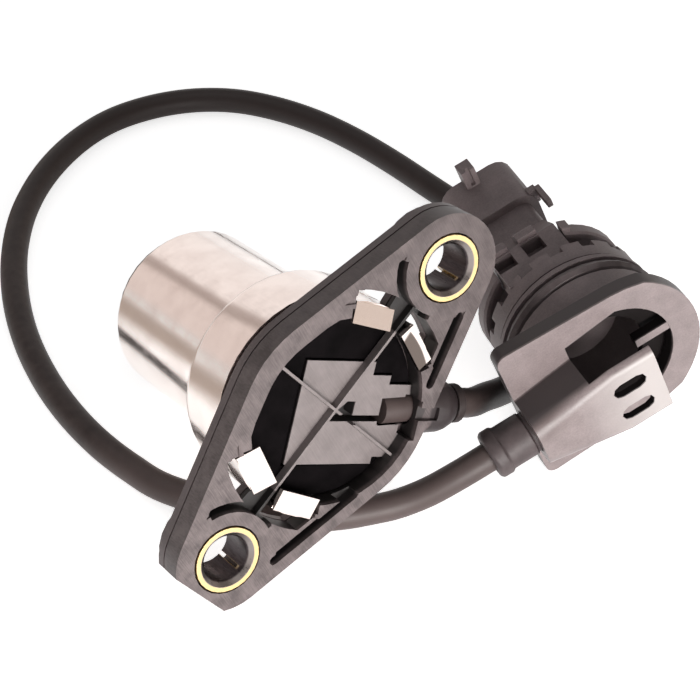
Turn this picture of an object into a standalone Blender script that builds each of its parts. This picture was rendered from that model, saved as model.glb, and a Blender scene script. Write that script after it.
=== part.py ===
"""Engine position sensor with a flanged head, a free cable and a round feed-through connector.

The sensor head lies on its side, as it would be put down on a bench: the back corner of its
mounting flange and the far rim of its metal can touch the surface, and the connector stands
on the corner of its cap. Metres, +Z up, the surface is at Z = 0.
"""
import math

import bpy
import bmesh
from mathutils import Matrix, Vector

MM = 0.001

# Mounting flange: two bolt bushes either side of a round sensor can
BUSH_SPACING = 52.0 * MM
CENTRE_RADIUS = 16.3 * MM
END_RADIUS = 8.25 * MM
END_FLAT = 6.3 * MM
FRAME_THICKNESS = 3.5 * MM
BACK_PLATE_THICKNESS = 1.4 * MM
UPPER_RIM = 3.2 * MM
LOWER_RIM = 1.95 * MM
BOSS_RADIUS = 7.4 * MM
POCKET_WIDTH = 1.4 * MM
POCKET_DEPTH = 2.6 * MM
POCKET_INSET = 2.6 * MM
END_POCKET_SPAN = 13.0
FACE_STEP = 0.35 * MM
FACE_STEP_INSET = 2.0 * MM
REAR_BOSS_RADIUS = 7.2 * MM
REAR_BOSS_HEIGHT = 1.9 * MM
BOSS_POCKET_STARTS = ((-1, 64.0), (1, 116.0))
BOSS_POCKET_SPAN = 84.0
UPPER_POCKET = (7.0 * MM, 19.3 * MM)
LOWER_POCKET = (3.0 * MM, 19.8 * MM)

# Clearance between pieces that touch, and how far a cutter reaches past the face it cuts
GAP = 0.3 * MM
PAST = 1.0 * MM

# Split bushes
BUSH_RADIUS = 5.05 * MM
BUSH_BORE_RADIUS = 3.5 * MM
BUSH_FACE_WIDTH = 0.75 * MM
BUSH_SLIT = 0.6 * MM
BUSH_SLIT_TURN = -93.0
BUSH_SLIT_STOP = 1.6 * MM
BUSH_PROUD = 0.1 * MM

# Metal can
CAN_NOSE_INSET = 3.35 * MM
CAN_WALL = 0.8 * MM
CAN_SHOULDER = 15.9 * MM
CAN_LENGTH = 43.9 * MM
CAN_CORNER = 1.6 * MM
TAB_ANGLES = (21.5, -16.9, 158.5, 196.9)
TAB_SPAN = 25.0
TAB_REACHES = (2.6 * MM, 2.1 * MM, 3.1 * MM, 2.8 * MM)
TAB_DROPS = (0.8 * MM, 0.3 * MM, 0.8 * MM, 0.3 * MM)
TAB_SIDE_INSET = 0.13 * MM
TAB_EDGE_OUTSET = 0.11 * MM
TAB_SKIN = 0.05 * MM
TAB_ROOT = 0.5 * MM
UPPER_SLOT_INSET = 1.3 * MM
LOWER_SLOT_INSET = 3.9 * MM
SLOT_CLEARANCE = 3.0
SEAT_CLEARANCE = 6.5

# Tip cap that closes the far end of the can
TIP_INSET = 1.35 * MM
TIP_PROUD = 2.3 * MM
TIP_FLANGE = 0.9 * MM

# Moulding inside the can
BLOCK_TURN = -59.5
BLOCK_DEPTH = 2.8 * MM
BLOCK_THICKNESS = 3.2 * MM
SLOT_SHARES = ((0.035, -0.167), (0.667, -0.167), (0.667, -0.1), (0.319, -0.1), (0.319, 0.049), (0.222, 0.049),
               (0.111, -0.059), (0.035, -0.059))
RIB_WIDTH = 0.42 * MM
RIB_DEPTH = 1.4 * MM
RIB_OFFSET = -0.45 * MM
UPRIGHT_OFFSET = 0.1 * MM
BLOCK_SLOT_DEPTH = 2.4 * MM
BED_SIDES = (-2.9 * MM, 0.8 * MM)
BED_LEAD = 0.7 * MM
CROSS_SLOT_SIDES = (-4.3 * MM, 1.9 * MM)
CROSS_SLOT_WIDTH = 1.2 * MM
RIM_NOTCH_SIDES = (-1.2 * MM, 0.85 * MM)
RIM_NOTCH_DEPTH = 0.9 * MM
RIM_NOTCH_LENGTH = 4.2 * MM
POTTING_THICKNESS = 2.0 * MM

# Sensing pieces behind the potting
BOARD_WIDTH = 15.0 * MM
BOARD_THICKNESS = 1.2 * MM
CARRIER_WIDTH = 18.0 * MM
CARRIER_THICKNESS = 5.0 * MM
CHIP_WIDTH = 5.0 * MM
CHIP_THICKNESS = 1.5 * MM
MAGNET_RADIUS = 4.0 * MM
MAGNET_LENGTH = 6.0 * MM
CAPACITOR_WIDTH = 2.0 * MM
CAPACITOR_LENGTH = 1.3 * MM
CAPACITOR_OFFSET = 4.6 * MM
CAPACITOR_RISE = 8.0 * MM
BOARD_SETBACK = 2.0 * MM
BOARD_RISE = 3.0 * MM
CHIP_RISE = 1.0 * MM
WIRE_LAP = 6.0 * MM
WIRE_RADIUS = 0.6 * MM
WIRE_PITCH = 2.6 * MM

# Cable and its exit on the flange
CABLE_RADIUS = 2.28 * MM
EXIT_DEPTH = 4.2 * MM
EXIT_SIDE = -0.9 * MM
EXIT_SWING = 4.0
EXIT_BOSS_RADIUS = 4.1 * MM
EXIT_BOSS_LENGTH = 7.6 * MM
EXIT_BOSS_TAPER = ((0.0, 2.6 * MM), (0.25 * MM, 1.6 * MM), (0.65 * MM, 0.7 * MM))
EXIT_MOUTH_RADIUS = 2.9 * MM
GLAND_RADIUS = 3.0 * MM
GLAND_LENGTH = 1.3 * MM

# Connector cap: a plate with one square end, a window and a cable hood
CAP_RADIUS = 15.45 * MM
CAP_THICKNESS = 2.65 * MM
CAP_END = 15.6 * MM
CAP_HALF_WIDTH = 14.2 * MM
CAP_CORNER = 1.6 * MM
WINDOW_RADIUS = 10.8 * MM
WINDOW_END = 5.3 * MM
WINDOW_HALF_WIDTH = 8.9 * MM
HOOD_HEIGHT = 7.5 * MM
HOOD_WALL = 1.3 * MM
HOOD_MOUTH_HALF_WIDTH = 4.9 * MM
HOOD_HALF_WIDTH = 7.0 * MM
HOOD_MOUTH_CORNER = 3.2 * MM
HOOD_CORNER = 1.5 * MM
ROOF_END = 5.1 * MM
TIE_SLOT_SPACING = 5.2 * MM
TIE_SLOT_LENGTH = 5.6 * MM
TIE_SLOT_WIDTH = 2.7 * MM
CAP_RIB_WIDTH = 1.5 * MM
CAP_RIB_START = 5.0 * MM
CAP_RIB_SHIFT = 1.0 * MM

# Connector body: a round seat with a seal, a toothed collar and a plug housing
SEAT_RADIUS = 13.1 * MM
SEAT_LENGTH = 4.2 * MM
SEAL_SECTION = 1.2 * MM
SEAL_CREST = 13.5 * MM
LIP_THICKNESS = 0.8 * MM
LIP_OUTSET = 0.3 * MM
UNDERCUT_LENGTH = 0.5 * MM
UNDERCUT_DEPTH = 0.6 * MM
COLLAR_RADIUS = 13.0 * MM
COLLAR_LENGTH = 3.6 * MM
TOOTH_COUNT = 15
TOOTH_DEPTH = 1.3 * MM
TOOTH_GAP = 10.0
TOOTH_TURN = 9.0
TOOTH_ROOT = 0.8 * MM
CORE_RADIUS = 9.3 * MM
CORE_WALL = 2.0 * MM
RING_RADIUS = 12.5 * MM
RING_THICKNESS = 2.7 * MM
RING_SETBACK = 2.9 * MM
RING_STEP = 1.0 * MM
RING_EDGE = 0.4 * MM
RING_KEY_OUTSET = 0.8 * MM
RING_KEY_TURN = 66.0
RING_KEY_SPAN = 12.0
NECK_HALF_WIDTH = 5.3 * MM
NECK_TOP = 7.6 * MM
NECK_BOTTOM = 7.0 * MM
NECK_LENGTH = 11.2 * MM
NECK_CORNER = 1.9 * MM
SHROUD_HALF_WIDTH = 6.6 * MM
SHROUD_TOP = 9.2 * MM
SHROUD_BOTTOM = 7.4 * MM
SHROUD_LENGTH = 10.3 * MM
SHROUD_WALL = 1.4 * MM
SHROUD_CAVITY = 10.0 * MM
SHROUD_CORNER = 3.2 * MM
TOWER_LEFT = -6.6 * MM
TOWER_RIGHT = 4.9 * MM
TOWER_TOP = 11.6 * MM
TOWER_LENGTH = 12.0 * MM
TOWER_RAMP = 6.0 * MM
TOWER_ROOT = 2.0 * MM
SNAP_WIDTH = 3.3 * MM
SNAP_HEIGHT = 0.9 * MM
SNAP_CENTRES = (0.3 * MM, -4.9 * MM)
SNAP_SETBACK = 9.4 * MM
SNAP_RAMP = 2.2 * MM
SNAP_LENGTH = 3.4 * MM
SNAP_ROOT = 2.4 * MM
SNAP_TOE = 1.0 * MM
SNAP_WINDOW = (3.8 * MM, 7.0 * MM)
SNAP_WINDOW_DEPTH = 2.6 * MM
KEY_WIDTH = 2.4 * MM
KEY_HEIGHT = 3.7 * MM
KEY_LENGTH = 2.7 * MM
KEY_GROOVE = 0.7 * MM
KEY_CENTRE = -0.6 * MM
ARM_THICKNESS = 0.9 * MM
ARM_HEIGHT = 1.5 * MM
ARM_LENGTH = 3.7 * MM
ARM_GAP = 0.3 * MM
ARM_DROP = 0.4 * MM
ARM_BACK = 0.8 * MM
ARM_FOOT_HEIGHT = 2.8 * MM
ARM_FOOT_LENGTH = 1.3 * MM
PIN_PITCH = 4.0 * MM
PIN_RADIUS = 0.6 * MM
PIN_LENGTH = 5.4 * MM
INSERT_THICKNESS = 1.4 * MM

# Cable boot in the mouth of the hood
BOOT_RADIUS = 3.9 * MM
BOOT_NECK_RADIUS = 3.3 * MM
BOOT_LENGTH = 7.4 * MM
BOOT_NECK_LENGTH = 4.0 * MM
BOOT_RIM_LENGTH = 2.2 * MM

# Where the two assemblies lie on the surface
HEAD_PLACE = (6.1 * MM, -12.26 * MM, 24.54 * MM)
HEAD_TURN = (70.3, -35.73, 45.02)
CONNECTOR_PLACE = (47.5 * MM, 6.14 * MM, 19.0 * MM)
CONNECTOR_TURN = (86.9, -24.5, 23.95)

# Route of the cable from the exit on the flange to the boot, chosen point by point
CABLE_ROUTE = (
    (26.7, 3.3, 13.1),
    (29.4, 7.6, 10.4),
    (32.2, 12.4, 7.1),
    (35.4, 18.1, 3.8),
    (37.3, 23.7, 2.5),
    (38.8, 34.1, 2.3),
    (39.2, 44.5, 2.3),
    (37.3, 54.0, 2.3),
    (33.1, 60.9, 2.3),
    (28.8, 65.8, 2.3),
    (23.1, 71.8, 2.3),
    (16.7, 78.5, 2.3),
    (10.0, 84.7, 2.3),
    (2.8, 90.0, 2.3),
    (-4.9, 93.8, 2.3),
    (-12.9, 95.8, 2.3),
    (-21.0, 95.3, 2.3),
    (-28.8, 92.4, 2.3),
    (-35.9, 87.3, 2.3),
    (-41.6, 79.8, 2.3),
    (-45.9, 70.1, 2.3),
    (-48.3, 59.0, 2.3),
    (-48.5, 47.4, 2.3),
    (-46.9, 36.2, 2.3),
    (-44.0, 26.0, 2.3),
    (-40.0, 16.9, 2.3),
    (-35.4, 9.2, 2.3),
    (-30.1, 2.5, 2.3),
    (-24.4, -2.9, 2.3),
    (-18.6, -7.0, 2.3),
    (-7.6, -10.8, 2.3),
    (-0.1, -11.8, 2.3),
    (7.3, -11.0, 2.3),
    (14.1, -9.0, 2.3),
    (19.4, -7.0, 2.8),
    (22.4, -6.4, 4.0),
    (25.0, -6.2, 5.7),
)
ROUTE_COUNT = 62

ROUND_STEPS = 40
BORE_STEPS = 24
EXIT_STEPS = 28
SMALL_STEPS = 20


def clear_scene():
    for obj in list(bpy.data.objects):
        bpy.data.objects.remove(obj, do_unlink=True)


clear_scene()
PARTS = bpy.data.collections.new("engine_position_sensor")
CUTTERS = bpy.data.collections.new("cutters")
bpy.context.scene.collection.children.link(PARTS)
bpy.context.scene.collection.children.link(CUTTERS)


def material(name, colour, roughness, metallic=0.0):
    mat = bpy.data.materials.new(name)
    mat.use_nodes = True
    shader = mat.node_tree.nodes["Principled BSDF"]
    shader.inputs["Base Color"].default_value = (*colour, 1.0)
    shader.inputs["Roughness"].default_value = roughness
    shader.inputs["Metallic"].default_value = metallic
    return mat


def empty(name, place, turn):
    """An empty that carries one assembly at its place on the surface."""
    obj = bpy.data.objects.new(name, None)
    obj.location = place
    obj.rotation_euler = [math.radians(a) for a in turn]
    PARTS.objects.link(obj)
    return obj


def add_mesh(name, bm, parent=None, cutter=False):
    bmesh.ops.recalc_face_normals(bm, faces=bm.faces)
    mesh = bpy.data.meshes.new(name)
    bm.to_mesh(mesh)
    bm.free()
    obj = bpy.data.objects.new(name, mesh)
    (CUTTERS if cutter else PARTS).objects.link(obj)
    if cutter:
        obj.hide_render = True
        obj.display_type = "WIRE"
    obj.parent = parent
    return obj


def finish(obj, mat, angle=35.0):
    """Give a part its material and smooth its round faces."""
    obj.data.materials.clear()
    obj.data.materials.append(mat)
    obj.data.shade_smooth()
    obj.data.set_sharp_from_angle(angle=math.radians(angle))
    return obj


def boolean(obj, other, operation="DIFFERENCE"):
    mod = obj.modifiers.new(operation.title(), "BOOLEAN")
    mod.operation = operation
    mod.solver = "EXACT"
    mod.object = other
    return obj


def cut(obj, *cutters):
    for other in cutters:
        boolean(obj, other)
    return obj


def join(obj, *pieces):
    for other in pieces:
        boolean(obj, other, "UNION")
    return obj


def turned(name, profile, parent, steps=ROUND_STEPS, cutter=False):
    """A closed profile of (radius, height) points turned about the local Z axis."""
    bm = bmesh.new()
    verts = [bm.verts.new((r, 0.0, z)) for r, z in profile]
    for a, b in zip(verts, verts[1:]):
        bm.edges.new((a, b))
    closed = profile[0][0] > 1e-6
    if closed:
        bm.edges.new((verts[-1], verts[0]))
    mesh = bpy.data.meshes.new(name)
    bm.to_mesh(mesh)
    bm.free()
    obj = bpy.data.objects.new(name, mesh)
    (CUTTERS if cutter else PARTS).objects.link(obj)
    if cutter:
        obj.hide_render = True
        obj.display_type = "WIRE"
    obj.parent = parent
    mod = obj.modifiers.new("Screw", "SCREW")
    mod.steps = steps
    mod.render_steps = steps
    mod.use_merge_vertices = True
    mod.merge_threshold = 1e-6
    mod.use_smooth_shade = True
    return obj


def prism(name, outline, bottom, top, parent, cutter=False):
    """A flat outline of (x, y) points raised from one height to another."""
    curve = bpy.data.curves.new(name, "CURVE")
    curve.dimensions = "2D"
    curve.fill_mode = "BOTH"
    curve.extrude = (top - bottom) / 2
    spline = curve.splines.new("POLY")
    spline.points.add(len(outline) - 1)
    for point, (x, y) in zip(spline.points, outline):
        point.co = (x, y, 0.0, 1.0)
    spline.use_cyclic_u = True
    guide = bpy.data.objects.new(name + "_curve", curve)
    guide.location.z = (top + bottom) / 2
    CUTTERS.objects.link(guide)
    bpy.context.view_layer.update()
    graph = bpy.context.evaluated_depsgraph_get()
    mesh = bpy.data.meshes.new_from_object(guide.evaluated_get(graph))
    mesh.transform(guide.matrix_world)
    bpy.data.objects.remove(guide, do_unlink=True)
    bm = bmesh.new()
    bm.from_mesh(mesh)
    bmesh.ops.remove_doubles(bm, verts=bm.verts, dist=1e-6)
    bpy.data.meshes.remove(mesh)
    return add_mesh(name, bm, parent, cutter)


def box(name, low, high, parent, cutter=False, turn=0.0, shift=(0.0, 0.0, 0.0)):
    """A box between two corners, turned about the local Z axis and then shifted."""
    bm = bmesh.new()
    size = [b - a for a, b in zip(low, high)]
    middle = [(a + b) / 2 for a, b in zip(low, high)]
    spin = Matrix.Rotation(math.radians(turn), 4, "Z")
    place = Matrix.Translation(shift) @ spin @ Matrix.Translation(middle) @ Matrix.Diagonal((*size, 1.0))
    bmesh.ops.create_cube(bm, size=1.0, matrix=place)
    return add_mesh(name, bm, parent, cutter)


def side_prism(name, outline, left, right):
    """A cutter or joined piece with a (y, z) outline, drawn out along the connector's X axis."""
    obj = prism(name, outline, left, right, CONNECTOR, True)
    obj.matrix_local = Matrix(((0, 0, 1, 0), (1, 0, 0, 0), (0, 1, 0, 0), (0, 0, 0, 1)))
    return obj


def rod(name, radius, start, end, parent, cutter=False, segments=SMALL_STEPS):
    """A cylinder between two points."""
    start, end = Vector(start), Vector(end)
    along = end - start
    place = Matrix.Translation((start + end) / 2) @ along.to_track_quat("Z", "Y").to_matrix().to_4x4()
    bm = bmesh.new()
    bmesh.ops.create_cone(bm, cap_ends=True, segments=segments, radius1=radius, radius2=radius,
                          depth=along.length, matrix=place)
    return add_mesh(name, bm, parent, cutter)


def arc(centre, radius, start, end, count):
    """Points on an arc, in degrees, both ends included."""
    step = (end - start) / (count - 1)
    return [(centre[0] + radius * math.cos(math.radians(start + i * step)),
             centre[1] + radius * math.sin(math.radians(start + i * step))) for i in range(count)]


def sector(inner, outer, middle, span, centre=(0.0, 0.0), count=9):
    """Outline of a ring sector about a centre."""
    first, last = middle - span / 2, middle + span / 2
    return arc(centre, outer, first, last, count) + arc(centre, inner, last, first, count)


def rounded_rectangle(left, right, bottom, top, radius, count=5):
    corners = (((right - radius, top - radius), 0.0), ((left + radius, top - radius), 90.0),
               ((left + radius, bottom + radius), 180.0), ((right - radius, bottom + radius), 270.0))
    points = []
    for centre, start in corners:
        points += arc(centre, radius, start, start + 90.0, count)
    return points


def pill(centre, length, width, count=5):
    """Outline of a slot with round ends, along X."""
    reach = (length - width) / 2
    x, y = centre
    return arc((x + reach, y), width / 2, -90.0, 90.0, count) + arc((x - reach, y), width / 2, 90.0,
            270.0, count)


def turn_points(points, degrees):
    """Points turned about the origin."""
    c, s = math.cos(math.radians(degrees)), math.sin(math.radians(degrees))
    return [(x * c - y * s, x * s + y * c) for x, y in points]


def inner_radius(angle, upper, lower):
    """Distance from the centre to the flange's edge, less an inset for its upper or lower side."""
    lean = math.degrees(math.asin((CENTRE_RADIUS - END_RADIUS) / (BUSH_SPACING / 2)))
    angle = angle % 360.0
    reach = CENTRE_RADIUS - (upper if angle < 180.0 else lower)
    normals = (90.0 - lean, 90.0 + lean) if angle < 180.0 else (270.0 - lean, 270.0 + lean)
    if normals[0] <= angle <= normals[1]:
        return reach
    away = min(abs(angle - normals[0]), abs(angle - normals[1]))
    return reach / max(math.cos(math.radians(away)), 0.05)


def polar(radius, angle):
    return (radius * math.cos(math.radians(angle)), radius * math.sin(math.radians(angle)))


def well_outline(inset=0.0, steps=44):
    """The opening in the frame: a circle kept inside the rim on both sides."""
    angles = [360.0 / steps * (i + 0.5) for i in range(steps)]
    return [polar(min(WELL_RADIUS, inner_radius(a, UPPER_RIM, LOWER_RIM)) - inset, a) for a in angles]


def slot_outline(middle, span, count=5):
    """Window that one tab of the can passes through, kept clear of the rim."""
    first, step = middle - span / 2, span / (count - 1)
    angles = [first + i * step for i in range(count)]
    outer = [polar(min(TAB_SLOT_RADIUS, inner_radius(a, UPPER_SLOT_INSET, LOWER_SLOT_INSET)), a)
             for a in angles]
    return outer + [polar(SLOT_INNER, a) for a in reversed(angles)]


def flange_outline(inset=0.0):
    """Two end rounds and a larger centre round joined by tangents, one end cut flat."""
    half = BUSH_SPACING / 2
    big, small = CENTRE_RADIUS - inset, END_RADIUS - inset
    lean = math.degrees(math.asin((big - small) / half))
    flat = half + END_FLAT - inset
    rise = math.sqrt(max(small ** 2 - (END_FLAT - inset) ** 2, 0.0))
    meet = math.degrees(math.atan2(rise, -(flat - half)))
    right = arc((half, 0.0), small, -90.0 + lean, 90.0 - lean, 15)
    top = arc((0.0, 0.0), big, 90.0 - lean, 90.0 + lean, 6)
    left_top = arc((-half, 0.0), small, 90.0 + lean, meet, 4)
    left_bottom = arc((-half, 0.0), small, 360.0 - meet, 270.0 - lean, 4)
    bottom = arc((0.0, 0.0), big, 270.0 - lean, 270.0 + lean, 6)
    return right + top + left_top + left_bottom + bottom


BLACK_PLASTIC = material("black_plastic", (0.10, 0.092, 0.09), 0.45)
DARK_PLASTIC = material("dark_plastic", (0.035, 0.033, 0.034), 0.5)
RUBBER = material("rubber", (0.03, 0.028, 0.028), 0.7)
NICKEL = material("nickel_steel", (0.72, 0.68, 0.66), 0.22, 1.0)
BRASS = material("brass", (0.80, 0.66, 0.38), 0.3, 1.0)
POTTING = material("potting_resin", (0.02, 0.02, 0.022), 0.35)
BOARD_GREEN = material("board_green", (0.03, 0.16, 0.07), 0.45)
CHIP_BLACK = material("chip_black", (0.02, 0.02, 0.02), 0.5)
MAGNET_GREY = material("magnet_grey", (0.25, 0.25, 0.26), 0.4, 1.0)
TIN = material("tinned_copper", (0.75, 0.74, 0.72), 0.3, 1.0)
WIRE_JACKETS = (material("wire_red", (0.45, 0.04, 0.03), 0.5), material("wire_white", (0.7, 0.7, 0.66), 0.5),
                material("wire_blue", (0.04, 0.09, 0.35), 0.5))

HEAD = empty("sensor_head", HEAD_PLACE, HEAD_TURN)
CONNECTOR = empty("connector", CONNECTOR_PLACE, CONNECTOR_TURN)

BUSH_CENTRES = {"bush_upper": BUSH_SPACING / 2, "bush_lower": -BUSH_SPACING / 2}
BACK_TOP = -FRAME_THICKNESS - GAP
BACK_BOTTOM = BACK_TOP - BACK_PLATE_THICKNESS
BOSS_BOTTOM = BACK_BOTTOM - REAR_BOSS_HEIGHT
CAN_TOP = BACK_BOTTOM - GAP
CAN_RADIUS = CENTRE_RADIUS + GAP
CAN_NOSE_RADIUS = CAN_RADIUS - CAN_NOSE_INSET
CAN_INNER = CAN_RADIUS - CAN_WALL
TIP_RADIUS = CAN_NOSE_RADIUS - TIP_INSET
SLOT_INNER = CAN_INNER - GAP
TAB_SLOT_RADIUS = CAN_RADIUS + 1.9 * MM
WELL_RADIUS = SLOT_INNER - 1.1 * MM

# The block is laid out in shares of the well, so that it follows the flange's size
BLOCK_START, BLOCK_STEP, BLOCK_END = (WELL_RADIUS * share for share in (-0.375, 0.458, 0.6875))
BLOCK_LOWER, BLOCK_MIDDLE, BLOCK_UPPER = (WELL_RADIUS * share for share in (-0.632, 0.333, 0.476))
SHELF_LOWER, SHELF_UPPER, SHELF_END = (WELL_RADIUS * share for share in (-0.556, 0.236, 1.083))
EXIT_START = WELL_RADIUS * 0.695
EXIT_BOSS_START = CENTRE_RADIUS - 1.3 * MM
EXIT_BOSS_END = EXIT_BOSS_START + EXIT_BOSS_LENGTH
POTTING_TOP = -BLOCK_DEPTH - GAP - 0.05 * MM


def block_outline(grow=0.0):
    """The moulded block in the well: a square with one stepped corner."""
    low, high, step = BLOCK_START - grow, BLOCK_END + grow, BLOCK_STEP + grow
    bottom, middle, top = BLOCK_LOWER - grow, BLOCK_MIDDLE + grow, BLOCK_UPPER + grow
    return turn_points([(low, bottom), (high, bottom), (high, middle), (step, middle), (step, top),
                        (low, top)], BLOCK_TURN)


def shelf_outline(grow=0.0):
    """The shelf that carries the block's face on to the rim."""
    start, bottom, top = BLOCK_END - PAST, SHELF_LOWER - grow, SHELF_UPPER + grow
    return turn_points([(start, bottom), (SHELF_END, bottom), (SHELF_END, top), (start, top)], BLOCK_TURN)


def exit_point(distance):
    """A point on the axis that the cable leaves the flange along, by its distance from the middle."""
    sway = EXIT_SIDE + (distance - EXIT_START) * math.tan(math.radians(EXIT_SWING))
    return (*turn_points([(distance, sway)], BLOCK_TURN)[0], -EXIT_DEPTH)


def exit_clearance(tag):
    """Cutter that keeps another piece clear of the exit boss."""
    return rod(f"{tag}_exit_clearance", EXIT_BOSS_RADIUS + GAP, exit_point(EXIT_BOSS_START - GAP),
               exit_point(EXIT_BOSS_END + PAST), HEAD, True, 24)


def tab_slots(bottom, top, tag):
    """Cutters for the slots that the can's four tabs pass through."""
    return [prism(f"{tag}_slot_{i + 1}", slot_outline(a, TAB_SPAN + SLOT_CLEARANCE), bottom, top, HEAD,
                  cutter=True) for i, a in enumerate(TAB_ANGLES)]


def straight_pocket(side, start, end):
    """Cored groove inside the lower rim, on one side of the middle."""
    lean = math.asin((CENTRE_RADIUS - END_RADIUS) / (BUSH_SPACING / 2))
    direction = Vector((side * math.cos(lean), math.sin(lean)))
    outward = Vector((side * math.sin(lean), -math.cos(lean)))
    middle = outward * (CENTRE_RADIUS - POCKET_INSET) + direction * (start + end) / 2
    turned_pill = turn_points(pill((0.0, 0.0), end - start, POCKET_WIDTH),
                              math.degrees(math.atan2(direction.y, direction.x)))
    outline = [(x + middle.x, y + middle.y) for x, y in turned_pill]
    return prism(f"rim_pocket_{side}", outline, -POCKET_DEPTH, PAST, HEAD, True)


def face_step():
    """Shallow step in the face between the rim and the two bush bosses."""
    step = prism("face_step", flange_outline(FACE_STEP_INSET), -FACE_STEP, PAST, HEAD, True)
    keep = [rod("step_middle", TAB_SLOT_RADIUS - 2 * MM, (0, 0, -PAST), (0, 0, 2 * MM), HEAD, True, 32)]
    keep += [rod(f"step_boss_{name}", BOSS_RADIUS + POCKET_WIDTH / 2, (x, 0, -PAST), (x, 0, 2 * MM),
                 HEAD, True, 24) for name, x in BUSH_CENTRES.items()]
    return cut(step, *keep)


def mounting_flange():
    """Moulded frame: rim, bush bosses, cored pockets, inner block, cross ribs and cable exit."""
    frame = prism("mounting_flange", flange_outline(), -FRAME_THICKNESS, 0.0, HEAD)
    cut(frame, prism("well", well_outline(), -FRAME_THICKNESS - PAST, PAST, HEAD, True))

    pockets = [straight_pocket(1, *UPPER_POCKET), straight_pocket(-1, *LOWER_POCKET)]
    for side, start in BOSS_POCKET_STARTS:
        end = start + side * BOSS_POCKET_SPAN
        middle, span = (start + end) / 2, abs(end - start)
        outline = sector(BOSS_RADIUS, BOSS_RADIUS + POCKET_WIDTH, middle, span,
                         (side * BUSH_SPACING / 2, 0.0), 9)
        pockets.append(prism(f"boss_pocket_{side}", outline, -POCKET_DEPTH, PAST, HEAD, True))
    for index, (first, second) in enumerate((TAB_ANGLES[:2], TAB_ANGLES[2:])):
        outline = sector(WELL_RADIUS - 2 * MM, BUSH_SPACING / 2 - BOSS_RADIUS - 0.2 * MM,
                         (first + second) / 2, END_POCKET_SPAN, count=3)
        pockets.append(prism(f"end_pocket_{index + 1}", outline, -POCKET_DEPTH - 0.1 * MM, PAST, HEAD, True))
    cut(frame, face_step(), *pockets)

    cut(frame, *tab_slots(-FRAME_THICKNESS - PAST, PAST, "frame"))
    for index, (angle, drop) in enumerate(zip(TAB_ANGLES, TAB_DROPS)):
        outline = sector(WELL_RADIUS - 3 * MM, CAN_INNER, angle, TAB_SPAN + SEAT_CLEARANCE, count=3)
        cut(frame, prism(f"tab_seat_{index + 1}", outline, -CAN_WALL - drop - GAP, 2 * MM, HEAD, True))

    block_floor = -BLOCK_DEPTH - BLOCK_THICKNESS
    block = prism("block", block_outline(), block_floor, -BLOCK_DEPTH, HEAD, True)
    shelf = prism("shelf", shelf_outline(), -FRAME_THICKNESS, -BLOCK_DEPTH, HEAD, True)
    rib_floor = POTTING_TOP + GAP
    boss_reach = BUSH_SPACING / 2 - BOSS_RADIUS + 0.4 * MM
    ribs = [
        box("rib_across", (-boss_reach, RIB_OFFSET - RIB_WIDTH / 2, rib_floor),
            (boss_reach, RIB_OFFSET + RIB_WIDTH / 2, -RIB_DEPTH), HEAD, True),
        box("rib_upright", (UPRIGHT_OFFSET - RIB_WIDTH / 2, -CENTRE_RADIUS + LOWER_RIM / 2, rib_floor),
            (UPRIGHT_OFFSET + RIB_WIDTH / 2, CENTRE_RADIUS - UPPER_RIM * 0.7, -RIB_DEPTH), HEAD, True),
    ]
    profile = [(0.0, 0.0), (EXIT_BOSS_RADIUS, 0.0)]
    profile += [(EXIT_BOSS_RADIUS - inset, EXIT_BOSS_LENGTH - back) for inset, back in EXIT_BOSS_TAPER]
    profile += [(EXIT_MOUTH_RADIUS, EXIT_BOSS_LENGTH), (0.0, EXIT_BOSS_LENGTH)]
    boss = turned("exit_boss", profile, HEAD, EXIT_STEPS, True)
    along = Vector(exit_point(EXIT_BOSS_END)) - Vector(exit_point(EXIT_BOSS_START))
    lean = along.to_track_quat("Z", "Y").to_matrix().to_4x4()
    boss.matrix_local = Matrix.Translation(exit_point(EXIT_BOSS_START)) @ lean
    join(frame, block, shelf, *ribs, boss)

    slot = prism("block_slot", turn_points([(x * WELL_RADIUS, y * WELL_RADIUS) for x, y in SLOT_SHARES],
                                           BLOCK_TURN), -BLOCK_DEPTH - BLOCK_SLOT_DEPTH, 3 * PAST, HEAD,
                 True)
    start, end = EXIT_START - BED_LEAD, WELL_RADIUS
    bed = box("cable_bed", (start, BED_SIDES[0], block_floor - PAST), (end, BED_SIDES[1], PAST), HEAD, True,
              BLOCK_TURN)
    cross = box("cross_slot", (end - CROSS_SLOT_WIDTH + 0.2 * MM, CROSS_SLOT_SIDES[0],
                               block_floor - 2 * PAST), (end + 0.2 * MM, CROSS_SLOT_SIDES[1], 2 * PAST),
                HEAD, True, BLOCK_TURN)
    notch = box("rim_notch", (end - 0.4 * MM, RIM_NOTCH_SIDES[0], -RIM_NOTCH_DEPTH),
                (end - 0.4 * MM + RIM_NOTCH_LENGTH, RIM_NOTCH_SIDES[1], 4 * PAST), HEAD, True, BLOCK_TURN)
    cable_hole = rod("cable_hole", CABLE_RADIUS + GAP, exit_point(EXIT_START - 2 * GAP),
                     exit_point(EXIT_BOSS_END + PAST), HEAD, True, 24)
    bores = [rod(f"{name}_bore", BUSH_RADIUS + GAP, (x, 0, -FRAME_THICKNESS - PAST), (x, 0, PAST), HEAD,
                 True, 24) for name, x in BUSH_CENTRES.items()]
    cut(frame, slot, bed, cross, notch, cable_hole, *bores)
    return finish(frame, BLACK_PLASTIC)


def rear_boss_outline(x, steps=24):
    """Round boss behind a bush, kept inside the flange's flat end."""
    limit = -BUSH_SPACING / 2 - END_FLAT + GAP
    points = [polar(REAR_BOSS_RADIUS, 360.0 / steps * (i + 0.5)) for i in range(steps)]
    return [(max(x + px, limit), py) for px, py in points]


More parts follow.
